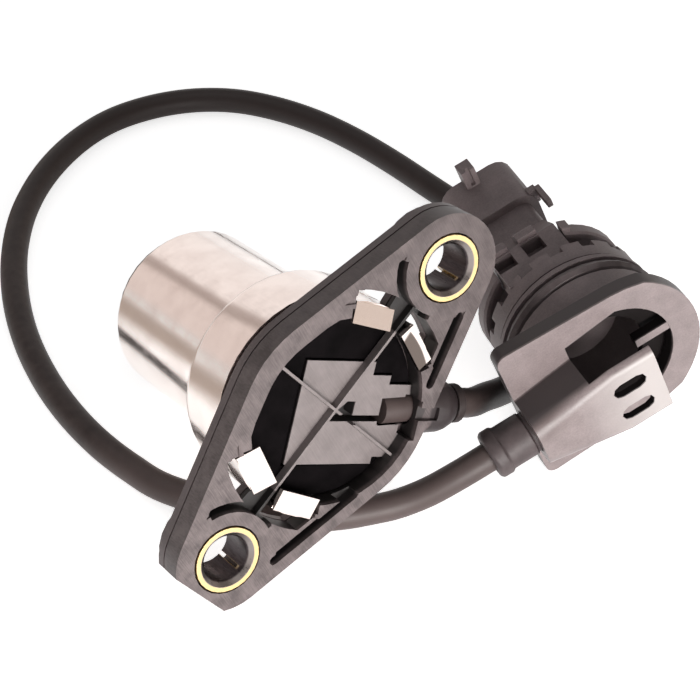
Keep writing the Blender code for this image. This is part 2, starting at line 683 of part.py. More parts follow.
def flange_back_plate():
    """Flat layer behind the frame, with the same outline, its own tab slots and two bolt bosses."""
    plate = prism("flange_back_plate", flange_outline(), BACK_BOTTOM, BACK_TOP, HEAD)
    bosses = [prism(f"rear_boss_{name}", rear_boss_outline(x), BOSS_BOTTOM,
                    BACK_TOP - BACK_PLATE_THICKNESS / 2, HEAD, True) for name, x in
              BUSH_CENTRES.items()]
    join(plate, *bosses)
    well = prism("back_well", well_outline(), BACK_BOTTOM - PAST, BACK_TOP + PAST, HEAD, True)
    room = rod("back_cable_room", CABLE_RADIUS + GAP, exit_point(EXIT_START - 2 * GAP),
               exit_point(EXIT_BOSS_START), HEAD, True, 24)
    cut(plate, well, *tab_slots(BACK_BOTTOM - PAST, BACK_TOP + PAST, "back"), exit_clearance("back"), room)
    bores = [rod(f"{name}_back_bore", BUSH_RADIUS + GAP, (x, 0, BOSS_BOTTOM - PAST),
                 (x, 0, BACK_TOP + PAST), HEAD, True, 24) for name, x in BUSH_CENTRES.items()]
    cut(plate, *bores)
    return finish(plate, DARK_PLASTIC)


def bush(name, x):
    """Rolled bush with a flat end face, a chamfered mouth and one slit along most of it."""
    top, bottom = BUSH_PROUD, BOSS_BOTTOM - BUSH_PROUD
    lip = BUSH_RADIUS - BUSH_FACE_WIDTH
    chamfer = lip - BUSH_BORE_RADIUS
    profile = [(lip, top), (BUSH_RADIUS, top), (BUSH_RADIUS, bottom), (lip, bottom),
               (BUSH_BORE_RADIUS, bottom + chamfer), (BUSH_BORE_RADIUS, top - chamfer)]
    ring = turned(name, profile, HEAD, 28)
    ring.location.x = x
    slit = box(f"{name}_slit", (0.0, -BUSH_SLIT / 2, bottom - PAST),
               (BUSH_RADIUS + PAST, BUSH_SLIT / 2, -BUSH_SLIT_STOP), HEAD, True, BUSH_SLIT_TURN,
               (x, 0.0, 0.0))
    cut(ring, slit)
    return finish(ring, BRASS)


def tab_plate(index, side):
    """The folded end of one tab: a flat plate that leans down towards the can's wall."""
    reach = CAN_INNER - TAB_REACHES[index]
    angle, drop = math.radians(TAB_ANGLES[index]), TAB_DROPS[index]
    half = CAN_RADIUS * math.sin(math.radians(TAB_SPAN / 2)) - TAB_SIDE_INSET
    edge = side * math.cos(math.radians(TAB_SPAN / 2)) + TAB_EDGE_OUTSET
    outline = [(reach, 0.0), (edge, -drop), (edge, -drop - CAN_WALL), (reach, -CAN_WALL)]
    plate = prism(f"tab_plate_{index + 1}", outline, -half, half, HEAD, True)
    c, s = math.cos(angle), math.sin(angle)
    plate.matrix_local = Matrix(((c, 0, s, 0), (s, 0, -c, 0), (0, 1, 0, 0), (0, 0, 0, 1)))
    return plate


def sensor_can():
    """Stepped drawn cup; four tabs rise through the flange and are folded in over it."""
    r, nose, wall, corner = CAN_RADIUS, CAN_NOSE_RADIUS, CAN_WALL, CAN_CORNER
    outer = [(r, CAN_TOP), (r, -CAN_SHOULDER + corner)]
    for a in (30, 60, 90):
        outer.append((r - corner + corner * math.cos(math.radians(a)),
                      -CAN_SHOULDER + corner - corner * math.sin(math.radians(a))))
    outer += [(nose, -CAN_SHOULDER), (nose, -CAN_LENGTH + corner / 2)]
    for a in (45, 90):
        outer.append((nose - corner / 2 + corner / 2 * math.cos(math.radians(a)),
                      -CAN_LENGTH + corner / 2 - corner / 2 * math.sin(math.radians(a))))
    lip = TIP_RADIUS + GAP
    inner = [(lip, -CAN_LENGTH), (lip, -CAN_LENGTH + wall), (nose - wall, -CAN_LENGTH + wall),
             (nose - wall, -CAN_SHOULDER + wall), (r - wall, -CAN_SHOULDER + wall), (r - wall, CAN_TOP)]
    can = turned("sensor_can", outer + inner, HEAD)
    side, inside, root = r - TAB_SKIN, CAN_INNER + TAB_SKIN, CAN_TOP - TAB_ROOT
    for index, (angle, drop) in enumerate(zip(TAB_ANGLES, TAB_DROPS)):
        riser = prism(f"tab_riser_{index + 1}", sector(inside, side, angle, TAB_SPAN, count=4), root,
                      -drop - wall / 2, HEAD, True)
        join(can, riser, tab_plate(index, side))
    cut(can, exit_clearance("can"))
    return finish(can, NICKEL)


def tip_cap():
    """Plastic cap that shows through the open end of the can."""
    back = -CAN_LENGTH + CAN_WALL + GAP
    rim = CAN_NOSE_RADIUS - CAN_WALL - GAP
    front = -CAN_LENGTH - TIP_PROUD
    profile = [(0.0, back + TIP_FLANGE), (rim, back + TIP_FLANGE), (rim, back), (TIP_RADIUS, back),
               (TIP_RADIUS, front + 0.6 * MM), (TIP_RADIUS - 0.6 * MM, front), (0.0, front)]
    return finish(turned("tip_cap", profile, HEAD, 32), DARK_PLASTIC)


def potting_fill():
    """Black resin that fills the well up to the face of the moulded block."""
    bottom = -BLOCK_DEPTH - BLOCK_THICKNESS - GAP - POTTING_THICKNESS
    disc = rod("potting_fill", CAN_INNER - GAP, (0, 0, bottom), (0, 0, BACK_BOTTOM - GAP), HEAD, False, 36)
    plug = prism("potting_plug", well_outline(GAP), BACK_BOTTOM - PAST, POTTING_TOP, HEAD, True)
    join(disc, plug)
    block_room = prism("potting_block_room", block_outline(GAP), -BLOCK_DEPTH - BLOCK_THICKNESS - GAP,
                       PAST, HEAD, True)
    shelf_room = prism("potting_shelf_room", shelf_outline(GAP), -FRAME_THICKNESS - GAP, PAST, HEAD, True)
    room = rod("potting_cable_room", CABLE_RADIUS + GAP, exit_point(EXIT_START - 2 * GAP),
               exit_point(EXIT_BOSS_END), HEAD, True, 24)
    cut(disc, block_room, shelf_room, exit_clearance("potting"), room)
    return finish(disc, POTTING), bottom


def sensing_pieces(start):
    """Carrier, circuit board, chip, magnet and leads between the resin and the tip."""
    top = start - GAP
    bottom = -CAN_LENGTH + CAN_WALL + 2 * GAP + TIP_FLANGE
    carrier = box("inner_carrier", (-CARRIER_WIDTH / 2, -CARRIER_THICKNESS, bottom),
                  (CARRIER_WIDTH / 2, 0.0, top), HEAD)
    pocket = rod("magnet_pocket", MAGNET_RADIUS + GAP, (0, -CARRIER_THICKNESS / 2, bottom - PAST),
                 (0, -CARRIER_THICKNESS / 2, bottom + MAGNET_LENGTH + GAP), HEAD, True, 24)
    cut(carrier, pocket)
    finish(carrier, DARK_PLASTIC)
    magnet = rod("bias_magnet", MAGNET_RADIUS, (0, -CARRIER_THICKNESS / 2, bottom),
                 (0, -CARRIER_THICKNESS / 2, bottom + MAGNET_LENGTH), HEAD, False, 24)
    finish(magnet, MAGNET_GREY)

    board_top = top - BOARD_SETBACK
    board_bottom = bottom + MAGNET_LENGTH + BOARD_RISE
    board = box("circuit_board", (-BOARD_WIDTH / 2, GAP, board_bottom),
                (BOARD_WIDTH / 2, GAP + BOARD_THICKNESS, board_top), HEAD)
    finish(board, BOARD_GREEN)
    face = 2 * GAP + BOARD_THICKNESS
    chip = box("position_chip", (-CHIP_WIDTH / 2, face, board_bottom + CHIP_RISE),
               (CHIP_WIDTH / 2, face + CHIP_THICKNESS, board_bottom + CHIP_RISE + CHIP_WIDTH), HEAD)
    finish(chip, CHIP_BLACK)
    for index, x in enumerate((-1, 1)):
        low = (x * CAPACITOR_OFFSET - CAPACITOR_WIDTH / 2, face, board_bottom + CAPACITOR_RISE)
        high = (x * CAPACITOR_OFFSET + CAPACITOR_WIDTH / 2, face + CAPACITOR_WIDTH / 2,
                board_bottom + CAPACITOR_RISE + CAPACITOR_LENGTH)
        finish(box(f"board_capacitor_{index + 1}", low, high, HEAD), TIN)
    for index, jacket in enumerate(WIRE_JACKETS):
        x = (index - 1) * WIRE_PITCH
        y = face + WIRE_RADIUS
        wire = rod(f"signal_wire_{index + 1}", WIRE_RADIUS, (x, y, top), (x, y, board_top - WIRE_LAP),
                   HEAD, False, 10)
        finish(wire, jacket)


def cable_gland():
    """Rubber ring round the cable at the end of the exit boss."""
    start = EXIT_BOSS_END + GAP
    ring = rod("cable_gland", GLAND_RADIUS, exit_point(start), exit_point(start + GLAND_LENGTH), HEAD,
               False, 20)
    hole = rod("gland_hole", CABLE_RADIUS + GAP, exit_point(start - PAST),
               exit_point(start + GLAND_LENGTH + PAST), HEAD, True, 20)
    cut(ring, hole)
    return finish(ring, RUBBER)


def cap_outline():
    """Round at one end, square with rounded corners at the other."""
    end, half, corner = CAP_END, CAP_HALF_WIDTH, CAP_CORNER
    upper = arc((0, 0), CAP_RADIUS, 0.0, 52.0, 9)
    shoulder = [(6.6 * MM, 13.05 * MM), (4.0 * MM, 13.4 * MM)]
    left = arc((-end + corner, half - corner), corner, 90.0, 180.0, 5)
    top = upper + shoulder + left
    return top + [(x, -y) for x, y in reversed(top[1:])]


def window_outline():
    """Hole in the cap: round end towards the plate's round end, square towards the cable."""
    upper = arc((0, 0), WINDOW_RADIUS, 0.0, 70.0, 12)
    top = upper + [(-WINDOW_END, WINDOW_HALF_WIDTH)]
    return top + [(x, -y) for x, y in reversed(top[1:])]


def hood_loft(name, inset, front, back, cutter=True):
    """Loft along X between a round mouth and a broad flat middle, open along its base."""
    stations = ((-CAP_END - front, HOOD_MOUTH_HALF_WIDTH - inset, max(HOOD_MOUTH_CORNER - inset, 0.4 * MM)),
                (-9.0 * MM, 6.0 * MM - inset, max(2.4 * MM - inset, 0.4 * MM)),
                (-2.0 * MM, HOOD_HALF_WIDTH - inset, max(HOOD_CORNER - inset, 0.4 * MM)),
                (back, HOOD_HALF_WIDTH - inset, max(HOOD_CORNER - inset, 0.4 * MM)))
    base = -1.0 * MM - inset
    top = HOOD_HEIGHT - inset
    bm = bmesh.new()
    rings = []
    for x, half, radius in stations:
        section = [(half, base), (half, top - radius)]
        section += arc((half - radius, top - radius), radius, 22.5, 90.0, 4)
        section += [(-y, z) for y, z in reversed(section)]
        rings.append([bm.verts.new((x, y, z)) for y, z in section])
    for a, b in zip(rings, rings[1:]):
        for i in range(len(a)):
            j = (i + 1) % len(a)
            bm.faces.new((a[i], a[j], b[j], b[i]))
    bm.faces.new(rings[0])
    bm.faces.new(list(reversed(rings[-1])))
    return add_mesh(name, bm, CONNECTOR, cutter)


def connector_cap():
    """Plate with a window and a hood that leads the cable in from the square end."""
    cap = prism("connector_cap", cap_outline(), -CAP_THICKNESS, 0.0, CONNECTOR)
    hood = hood_loft("hood_solid", 0.0, 0.0, ROOF_END)
    join(cap, hood)
    window = prism("cap_window", window_outline(), -CAP_THICKNESS - PAST, HOOD_HEIGHT - HOOD_WALL,
                   CONNECTOR, True)
    side_cut = box("hood_sides", (-WINDOW_END, -HOOD_HALF_WIDTH - PAST, 0.01 * MM),
                   (ROOF_END + PAST, HOOD_HALF_WIDTH + PAST, HOOD_HEIGHT - HOOD_WALL), CONNECTOR, True)
    tunnel = hood_loft("hood_tunnel", HOOD_WALL, -2.2 * MM, ROOF_END + PAST)
    mouth = rod("hood_mouth", BOOT_NECK_RADIUS + GAP,
                (-CAP_END - 3 * MM, 0, HOOD_HEIGHT - HOOD_MOUTH_HALF_WIDTH),
                (-CAP_END + 5 * MM, 0, HOOD_HEIGHT - HOOD_MOUTH_HALF_WIDTH), CONNECTOR, True, 24)
    cut(cap, window, side_cut, tunnel, mouth)
    for side in (-1, 1):
        slot = prism(f"tie_slot_{side}",
                     pill((0.0, side * TIE_SLOT_SPACING / 2), TIE_SLOT_LENGTH, TIE_SLOT_WIDTH),
                     HOOD_HEIGHT - HOOD_WALL - PAST, HOOD_HEIGHT + PAST, CONNECTOR, True)
        cut(cap, slot)
    rib = box("cap_rib", (CAP_RIB_START, -CAP_RIB_WIDTH / 2, -CAP_THICKNESS + 0.6 * MM),
              (WINDOW_RADIUS + PAST, CAP_RIB_WIDTH / 2, -0.2 * MM), CONNECTOR, True, 0.0,
              (0.0, CAP_RIB_SHIFT, 0.0))
    join(cap, rib)
    return finish(cap, BLACK_PLASTIC)


def connector_body():
    """Round seat, seal groove, toothed collar and core in one turned moulding with the neck."""
    z0 = -CAP_THICKNESS - GAP
    groove_top = z0 - SEAT_LENGTH
    groove_floor = SEAL_CREST - 2 * SEAL_SECTION - GAP
    groove_bottom = groove_top - 2 * SEAL_SECTION - 2 * GAP
    lip_bottom = groove_bottom - LIP_THICKNESS
    collar_top = lip_bottom - UNDERCUT_LENGTH
    collar_bottom = collar_top - COLLAR_LENGTH
    core_end = collar_bottom - RING_SETBACK - RING_THICKNESS - 2 * GAP
    cup = CORE_RADIUS - CORE_WALL
    profile = [(0.0, collar_top), (cup, collar_top), (cup, z0), (SEAT_RADIUS, z0),
               (SEAT_RADIUS, groove_top), (groove_floor, groove_top), (groove_floor, groove_bottom),
               (COLLAR_RADIUS + LIP_OUTSET, groove_bottom), (COLLAR_RADIUS + LIP_OUTSET, lip_bottom),
               (COLLAR_RADIUS - UNDERCUT_DEPTH, lip_bottom), (COLLAR_RADIUS - UNDERCUT_DEPTH, collar_top),
               (COLLAR_RADIUS, collar_top), (COLLAR_RADIUS, collar_bottom),
               (CORE_RADIUS, collar_bottom), (CORE_RADIUS, core_end), (0.0, core_end)]
    body = turned("connector_body", profile, CONNECTOR)
    for index in range(TOOTH_COUNT):
        angle = 360.0 / TOOTH_COUNT * index + TOOTH_TURN
        notch = prism(f"collar_notch_{index + 1}",
                      sector(CORE_RADIUS + TOOTH_ROOT, COLLAR_RADIUS + PAST, angle, TOOTH_GAP, count=3),
                      collar_bottom - PAST, collar_bottom + TOOTH_DEPTH, CONNECTOR, True)
        cut(body, notch)
    neck_end = core_end - NECK_LENGTH
    neck = prism("neck", rounded_rectangle(-NECK_HALF_WIDTH, NECK_HALF_WIDTH, -NECK_BOTTOM, NECK_TOP,
                                           NECK_CORNER), neck_end - PAST, core_end + PAST, CONNECTOR,
                 True)
    shroud_end = neck_end - SHROUD_LENGTH
    shroud = prism("shroud", rounded_rectangle(-SHROUD_HALF_WIDTH, SHROUD_HALF_WIDTH, -SHROUD_BOTTOM,
                                               SHROUD_TOP, SHROUD_CORNER), shroud_end, neck_end,
                   CONNECTOR, True)
    tower_foot = collar_bottom - TOWER_LENGTH
    tower = side_prism("tower", [(TOWER_ROOT, tower_foot), (NECK_TOP - 0.1 * MM, tower_foot),
                                 (TOWER_TOP, tower_foot + TOWER_RAMP), (TOWER_TOP, collar_bottom + PAST),
                                 (TOWER_ROOT, collar_bottom + PAST)], TOWER_LEFT, TOWER_RIGHT)
    join(body, neck, shroud, tower)
    snap_foot = collar_bottom - SNAP_SETBACK
    for index, x in enumerate(SNAP_CENTRES):
        left, right = x - SNAP_WIDTH / 2, x + SNAP_WIDTH / 2
        snap = side_prism(f"snap_{index + 1}",
                          [(TOWER_TOP - SNAP_ROOT, snap_foot), (TOWER_TOP - SNAP_TOE, snap_foot),
                           (TOWER_TOP + SNAP_HEIGHT, snap_foot + SNAP_RAMP),
                           (TOWER_TOP + SNAP_HEIGHT, snap_foot + SNAP_LENGTH),
                           (TOWER_TOP - SNAP_ROOT, snap_foot + SNAP_LENGTH)], left, right)
        join(body, snap)
        window = box(f"snap_window_{index + 1}",
                     (left, TOWER_TOP - SNAP_WINDOW_DEPTH, snap_foot + SNAP_WINDOW[0]),
                     (right, TOWER_TOP + 2 * PAST, snap_foot + SNAP_WINDOW[1]), CONNECTOR, True)
        cut(body, window)
    cavity = prism("plug_cavity", rounded_rectangle(-SHROUD_HALF_WIDTH + SHROUD_WALL,
                                                    SHROUD_HALF_WIDTH - SHROUD_WALL,
                                                    -SHROUD_BOTTOM + SHROUD_WALL,
                                                    SHROUD_TOP - SHROUD_WALL, SHROUD_CORNER - 0.8 * MM),
                   shroud_end - PAST, shroud_end + SHROUD_CAVITY, CONNECTOR, True)
    cut(body, cavity)
    key = box("plug_key", (KEY_CENTRE - KEY_WIDTH / 2, SHROUD_TOP - 0.6 * MM, shroud_end),
              (KEY_CENTRE + KEY_WIDTH / 2, SHROUD_TOP + KEY_HEIGHT, shroud_end + KEY_LENGTH), CONNECTOR, True)
    groove = box("key_groove", (KEY_CENTRE - KEY_GROOVE / 2, SHROUD_TOP + 0.3 * MM,
                                shroud_end + KEY_LENGTH - KEY_GROOVE),
                 (KEY_CENTRE + KEY_GROOVE / 2, SHROUD_TOP + KEY_HEIGHT + PAST,
                  shroud_end + KEY_LENGTH + PAST), CONNECTOR, True)
    cut(key, groove)
    arm_side, arm_top = SHROUD_HALF_WIDTH + ARM_GAP, SHROUD_TOP - ARM_DROP
    arm = box("plug_arm", (arm_side, arm_top - ARM_HEIGHT, neck_end - ARM_BACK),
              (arm_side + ARM_THICKNESS, arm_top, neck_end + ARM_LENGTH), CONNECTOR, True)
    foot_start, foot_top = neck_end - 2 * ARM_BACK, arm_top - 0.2 * MM
    arm_foot = box("plug_arm_foot", (SHROUD_HALF_WIDTH - SHROUD_WALL + 0.4 * MM,
                                     foot_top - ARM_FOOT_HEIGHT, foot_start),
                   (arm_side + 0.2 * MM, foot_top, foot_start + ARM_FOOT_LENGTH), CONNECTOR, True)
    join(body, key, arm_foot, arm)
    return finish(body, BLACK_PLASTIC), groove_bottom, groove_top, collar_bottom, shroud_end


def body_seal(groove_bottom, groove_top):
    """Rubber ring in the groove of the connector body."""
    middle = (groove_bottom + groove_top) / 2
    centre = SEAL_CREST - SEAL_SECTION
    profile = [(centre + SEAL_SECTION * math.cos(math.radians(a)),
                middle + SEAL_SECTION * math.sin(math.radians(a))) for a in range(90, -270, -45)]
    return finish(turned("body_seal", profile, CONNECTOR), RUBBER)


def retaining_ring(collar_bottom):
    """Ring behind the collar that holds the connector in its hole."""
    top = collar_bottom - RING_SETBACK
    bottom = top - RING_THICKNESS
    inner = CORE_RADIUS + GAP
    profile = [(inner, top - RING_STEP), (RING_RADIUS - 1.2 * MM, top - RING_STEP),
               (RING_RADIUS - RING_STEP, top), (RING_RADIUS - 0.3 * MM, top),
               (RING_RADIUS, top - RING_EDGE), (RING_RADIUS, bottom + RING_EDGE),
               (RING_RADIUS - RING_EDGE, bottom), (inner, bottom)]
    ring = turned("retaining_ring", profile, CONNECTOR)
    key = prism("ring_key", sector(RING_RADIUS - 1.5 * MM, RING_RADIUS + RING_KEY_OUTSET, RING_KEY_TURN,
                                   RING_KEY_SPAN, count=4), bottom + 0.2 * MM, top - RING_EDGE,
                CONNECTOR, True)
    room = box("ring_room", (TOWER_LEFT - GAP, 0.0, bottom - PAST),
               (TOWER_RIGHT + GAP, RING_RADIUS + 3 * MM, top + PAST), CONNECTOR, True)
    join(ring, key)
    cut(ring, room)
    return finish(ring, BLACK_PLASTIC)


def plug_pins(shroud_end):
    """Insulating insert in the plug cavity with three contact pins."""
    floor = shroud_end + SHROUD_CAVITY
    half = SHROUD_HALF_WIDTH - SHROUD_WALL - GAP
    insert = prism("pin_insert", rounded_rectangle(-half, half, -SHROUD_BOTTOM + SHROUD_WALL + GAP,
                                                   SHROUD_TOP - SHROUD_WALL - GAP, SHROUD_CORNER - 1.1 * MM),
                   floor - GAP - INSERT_THICKNESS, floor - GAP, CONNECTOR)
    middle = (SHROUD_TOP - SHROUD_BOTTOM) / 2
    for index in range(3):
        y = middle + (index - 1) * PIN_PITCH
        hole = rod(f"pin_hole_{index + 1}", PIN_RADIUS + GAP, (0, y, floor - INSERT_THICKNESS - PAST),
                   (0, y, floor + PAST), CONNECTOR, True, 12)
        cut(insert, hole)
        pin = rod(f"contact_pin_{index + 1}", PIN_RADIUS, (0, y, floor - GAP - PIN_LENGTH),
                  (0, y, floor - GAP), CONNECTOR, False, 12)
        finish(pin, TIN)
    return finish(insert, DARK_PLASTIC)


def smooth_route(points, count):
    """Evenly spaced points on one smooth curve through the chosen ones."""
    chosen = [Vector(p) * MM for p in points]
    ends = [chosen[0] * 2 - chosen[1]] + chosen + [chosen[-1] * 2 - chosen[-2]]
    fine = []
    for p0, p1, p2, p3 in zip(ends, ends[1:], ends[2:], ends[3:]):
        for step in range(24):
            s = step / 24
            fine.append(0.5 * (2 * p1 + (p2 - p0) * s + (2 * p0 - 5 * p1 + 4 * p2 - p3) * s * s
                               + (3 * p1 - p0 - 3 * p2 + p3) * s ** 3))
    fine.append(chosen[-1])
    for point in fine:
        point.z = max(point.z, CABLE_RADIUS)
    lengths = [0.0]
    for a, b in zip(fine, fine[1:]):
        lengths.append(lengths[-1] + (b - a).length)
    route, k = [], 0
    for i in range(count):
        want = lengths[-1] * i / (count - 1)
        while k < len(fine) - 2 and lengths[k + 1] < want:
            k += 1
        share = (want - lengths[k]) / (lengths[k + 1] - lengths[k])
        route.append(fine[k].lerp(fine[k + 1], min(max(share, 0.0), 1.0)))
    return route


def tube(name, points, radius):
    curve = bpy.data.curves.new(name, "CURVE")
    curve.dimensions = "3D"
    curve.bevel_depth = radius
    curve.bevel_resolution = 3
    curve.use_fill_caps = True
    spline = curve.splines.new("POLY")
    spline.points.add(len(points) - 1)
    for target, point in zip(spline.points, points):
        target.co = (*point, 1.0)
    obj = bpy.data.objects.new(name, curve)
    PARTS.objects.link(obj)
    return obj


def cable_and_boot():
    """Free cable from the exit boss to the hood, and the rubber boot on its end."""
    bpy.context.view_layer.update()
    head, plug = HEAD.matrix_world, CONNECTOR.matrix_world
    start = head @ Vector(exit_point(EXIT_START))
    leave = head @ Vector(exit_point(EXIT_BOSS_END + GLAND_LENGTH))
    axis_z = HOOD_HEIGHT - HOOD_MOUTH_HALF_WIDTH
    boot_back = plug @ Vector((-CAP_END + BOOT_NECK_LENGTH, 0, axis_z))
    boot_front = plug @ Vector((-CAP_END - BOOT_LENGTH, 0, axis_z))
    boot_lead = plug @ Vector((-CAP_END - BOOT_LENGTH - 1.2 * CABLE_RADIUS, 0, axis_z))
    route = [tuple(start / MM), tuple(leave / MM)]
    route += list(CABLE_ROUTE)
    route += [tuple(p / MM) for p in (boot_lead, boot_front, boot_back * 0.9 + boot_front * 0.1)]
    line = smooth_route(route, ROUTE_COUNT)
    cable = tube("cable", line, CABLE_RADIUS)
    cable.data.materials.append(RUBBER)

    sleeve = BOOT_NECK_RADIUS + 0.25 * MM
    profile = [(CABLE_RADIUS + GAP, 0.0), (BOOT_RADIUS - 0.5 * MM, 0.0), (BOOT_RADIUS, -0.5 * MM),
               (BOOT_RADIUS, -BOOT_RIM_LENGTH), (sleeve, -BOOT_RIM_LENGTH - 0.2 * MM),
               (sleeve, -BOOT_LENGTH + 0.6 * MM), (BOOT_NECK_RADIUS, -BOOT_LENGTH + 0.6 * MM),
               (BOOT_NECK_RADIUS, -BOOT_LENGTH - BOOT_NECK_LENGTH),
               (CABLE_RADIUS + GAP, -BOOT_LENGTH - BOOT_NECK_LENGTH)]
    boot = turned("cable_boot", profile, CONNECTOR, 24)
    boot.matrix_local = Matrix.Translation((-CAP_END - BOOT_LENGTH, 0, axis_z)) @ Matrix.Rotation(
        math.radians(-90.0), 4, "Y")
    finish(boot, RUBBER)


mounting_flange()
flange_back_plate()
for bush_name, bush_x in BUSH_CENTRES.items():
    bush(bush_name, bush_x)
sensor_can()
tip_cap()
resin, resin_bottom = potting_fill()
sensing_pieces(resin_bottom)
cable_gland()
connector_cap()
_, seal_bottom, seal_top, ring_start, plug_end = connector_body()
body_seal(seal_bottom, seal_top)
retaining_ring(ring_start)
plug_pins(plug_end)
cable_and_boot()
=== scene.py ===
import math

import bpy
import bmesh
from mathutils import Matrix, Vector


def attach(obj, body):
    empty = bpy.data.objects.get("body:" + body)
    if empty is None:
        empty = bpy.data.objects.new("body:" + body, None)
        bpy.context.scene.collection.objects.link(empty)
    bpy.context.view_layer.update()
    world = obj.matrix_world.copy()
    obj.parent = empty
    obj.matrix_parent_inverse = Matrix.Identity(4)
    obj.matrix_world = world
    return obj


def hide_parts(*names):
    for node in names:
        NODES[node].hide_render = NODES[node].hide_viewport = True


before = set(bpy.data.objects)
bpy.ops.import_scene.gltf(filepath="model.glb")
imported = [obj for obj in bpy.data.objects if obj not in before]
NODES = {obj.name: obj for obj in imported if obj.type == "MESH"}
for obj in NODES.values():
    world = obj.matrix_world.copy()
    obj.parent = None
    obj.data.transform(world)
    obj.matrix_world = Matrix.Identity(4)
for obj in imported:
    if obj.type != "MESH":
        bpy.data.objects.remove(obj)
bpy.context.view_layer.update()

MM = 0.001
WHITE = (1.0, 1.0, 1.0)

# The sensor head and the connector lie here, as in the part's source
HEAD_PLACE = (6.1 * MM, -12.26 * MM, 24.54 * MM)
HEAD_TURN = (70.3, -35.73, 45.02)
CONNECTOR_PLACE = (47.5 * MM, 6.14 * MM, 19.0 * MM)
CONNECTOR_TURN = (86.9, -24.5, 23.95)

# Camera, measured from the middle of the flange
CAMERA_OFFSET = (-9.0 * MM, -204.6 * MM, 194.6 * MM)
CAMERA_RIGHT = (0.9985, 0.0, 0.0542)
CAMERA_UP = (-0.0404, 0.6662, 0.7447)
CAMERA_LENS = 102.28
SENSOR_WIDTH = 36.0
CLIP_START = 0.01

# Lamps: name, place, size, power and colour. All point at one target
LAMP_TARGET = (0.01, 0.02, 0.02)
LAMPS = (
    ("key_low", (0.22, -0.46, 0.10), (0.36, 0.18), 3.9, (1.0, 0.97, 0.95)),
    ("top_soft", (-0.1, 0.1, 0.8), (0.9, 0.9), 0.6, WHITE),
)

# World: what matt surfaces get from it, and the soft panels that mirror rays see in it. The
# panels go by direction, from left to right, times a factor from low to high (both -1 to 1)
WORLD_COLOUR = (1.0, 0.985, 0.98)
WORLD_LEVEL = 0.27
SIDE_BANDS = (
    (-1.0, (0.80, 0.70, 0.66)),
    (-0.72, (0.80, 0.70, 0.66)),
    (-0.66, (0.44, 0.37, 0.34)),
    (-0.61, (0.50, 0.42, 0.39)),
    (-0.54, (1.0, 0.93, 0.90)),
    (0.2, (1.0, 0.96, 0.94)),
    (0.5, (0.74, 0.64, 0.57)),
    (1.0, (0.74, 0.64, 0.57)),
)
HEIGHT_BANDS = (
    (-1.0, (1.0, 1.0, 1.0)),
    (0.36, (1.0, 1.0, 1.0)),
    (0.5, (0.35, 0.35, 0.35)),
    (0.75, (0.3, 0.3, 0.3)),
    (1.0, (0.8, 0.8, 0.8)),
)

# Floor, and the dim beige strip to the left of the object that only mirror rays see on it,
# in metres from the middle of the world
FLOOR_RADIUS = 2.5
FLOOR_SEGMENTS = 96
FLOOR_DROP = 0.05 * MM
FLOOR_PAPER = (0.80, 0.79, 0.785)
FLOOR_ROUGHNESS = 0.9
FLOOR_GLOW = 0.45
FLOOR_SEEN = 0.7
STRIP_LEFT = (0.0, -0.05)
STRIP_START = (0.055, 0.085)
STRIP_END = (0.14, 0.26)
STRIP_END_SHARE = 0.6
STRIP_TINT = (0.86, 0.73, 0.64)
STRIP_GLOW = 0.03

# Rounded edges on the carried-over solids, with their widths in millimetres
WELD_REACH = 2e-6
EDGE_SEGMENTS = 3
EDGE_ANGLE = 28.0
NORMAL_WEIGHT = 100
EDGE_WIDTHS = {
    "mounting_flange": 0.12,
    "flange_back_plate": 0.22,
    "bush_upper": 0.08,
    "bush_lower": 0.08,
    "sensor_can": 0.12,
    "tip_cap": 0.2,
    "connector_cap": 0.25,
    "connector_body": 0.14,
    "retaining_ring": 0.18,
    "cable_boot": 0.3,
    "cable_gland": 0.2,
}

# The places below, which the materials follow, are in millimetres in the piece's assembly.
# A pair of places is where a change starts and where it ends.
# Head: z runs out of the flange's face, and x through both bushes
CENTRE_RADIUS = 16.3
WELL_EDGE = 14.25
OUTLINE_SLOPE = (0.342, 0.94)
FACE_DARK, FACE_LIGHT = (0.059, 0.045, 0.045), (0.147, 0.118, 0.117)
# The face goes darker towards the upper bush: painted shade
FACE_SHADE_FADE = (-12.0, 34.0)
STREAK_TURN = 75.0
BLOCK_DARK, BLOCK_LIGHT = (0.130, 0.110, 0.109), (0.215, 0.186, 0.184)
BLOCK_TURN = -59.5
BLOCK_TONE_TOP = -1.2
GROOVE_EDGE = CENTRE_RADIUS - 0.5
GROOVE_REACH = 27.0
GROOVE_TOP = (-1.1, -0.5)
SLOT_TOP = (-3.1, -2.9)
# Painted shade in recesses, on the flange and on the connector
RECESS_SHADE = (0.012, 0.010, 0.010)
OUTLET_START = CENTRE_RADIUS + 1.0
OUTLET_SIDE = -0.9
OUTLET_HALF = 4.3
EXIT_DARK = (0.026, 0.019, 0.020)

# Bushes, from their own axes
BUSH_PLACES = {"bush_upper": 26.0, "bush_lower": -26.0}
BRASS_FRESH, BRASS_DULL = (0.90, 0.68, 0.34), (0.78, 0.57, 0.28)
# The bore is darkened as painted shade
BORE_SHADE_DARK, BORE_SHADE_LIGHT = (0.035, 0.028, 0.030), (0.075, 0.062, 0.065)
CHAMFER_GREY = (0.30, 0.27, 0.26)
BORE_RADIUS = 3.7
RING_RADIUS = 4.36
# The slit is drawn bright gold as a painted highlight
SLIT_TURN = -93.0
SLIT_HALF = 0.36
SLIT_START = 3.5
SLIT_TOP = -1.2

# The folded tab that is darkened brown as a painted reflection
TAB_DARK_REFLECTION = (0.16, 0.13, 0.115)
TAB_REFLECTION_RADIUS = 15.6
TAB_REFLECTION_START = 12.0
TAB_REFLECTION_LOW, TAB_REFLECTION_HIGH = -8.6, -1.6
TAB_REFLECTION_BOTTOM = -1.8
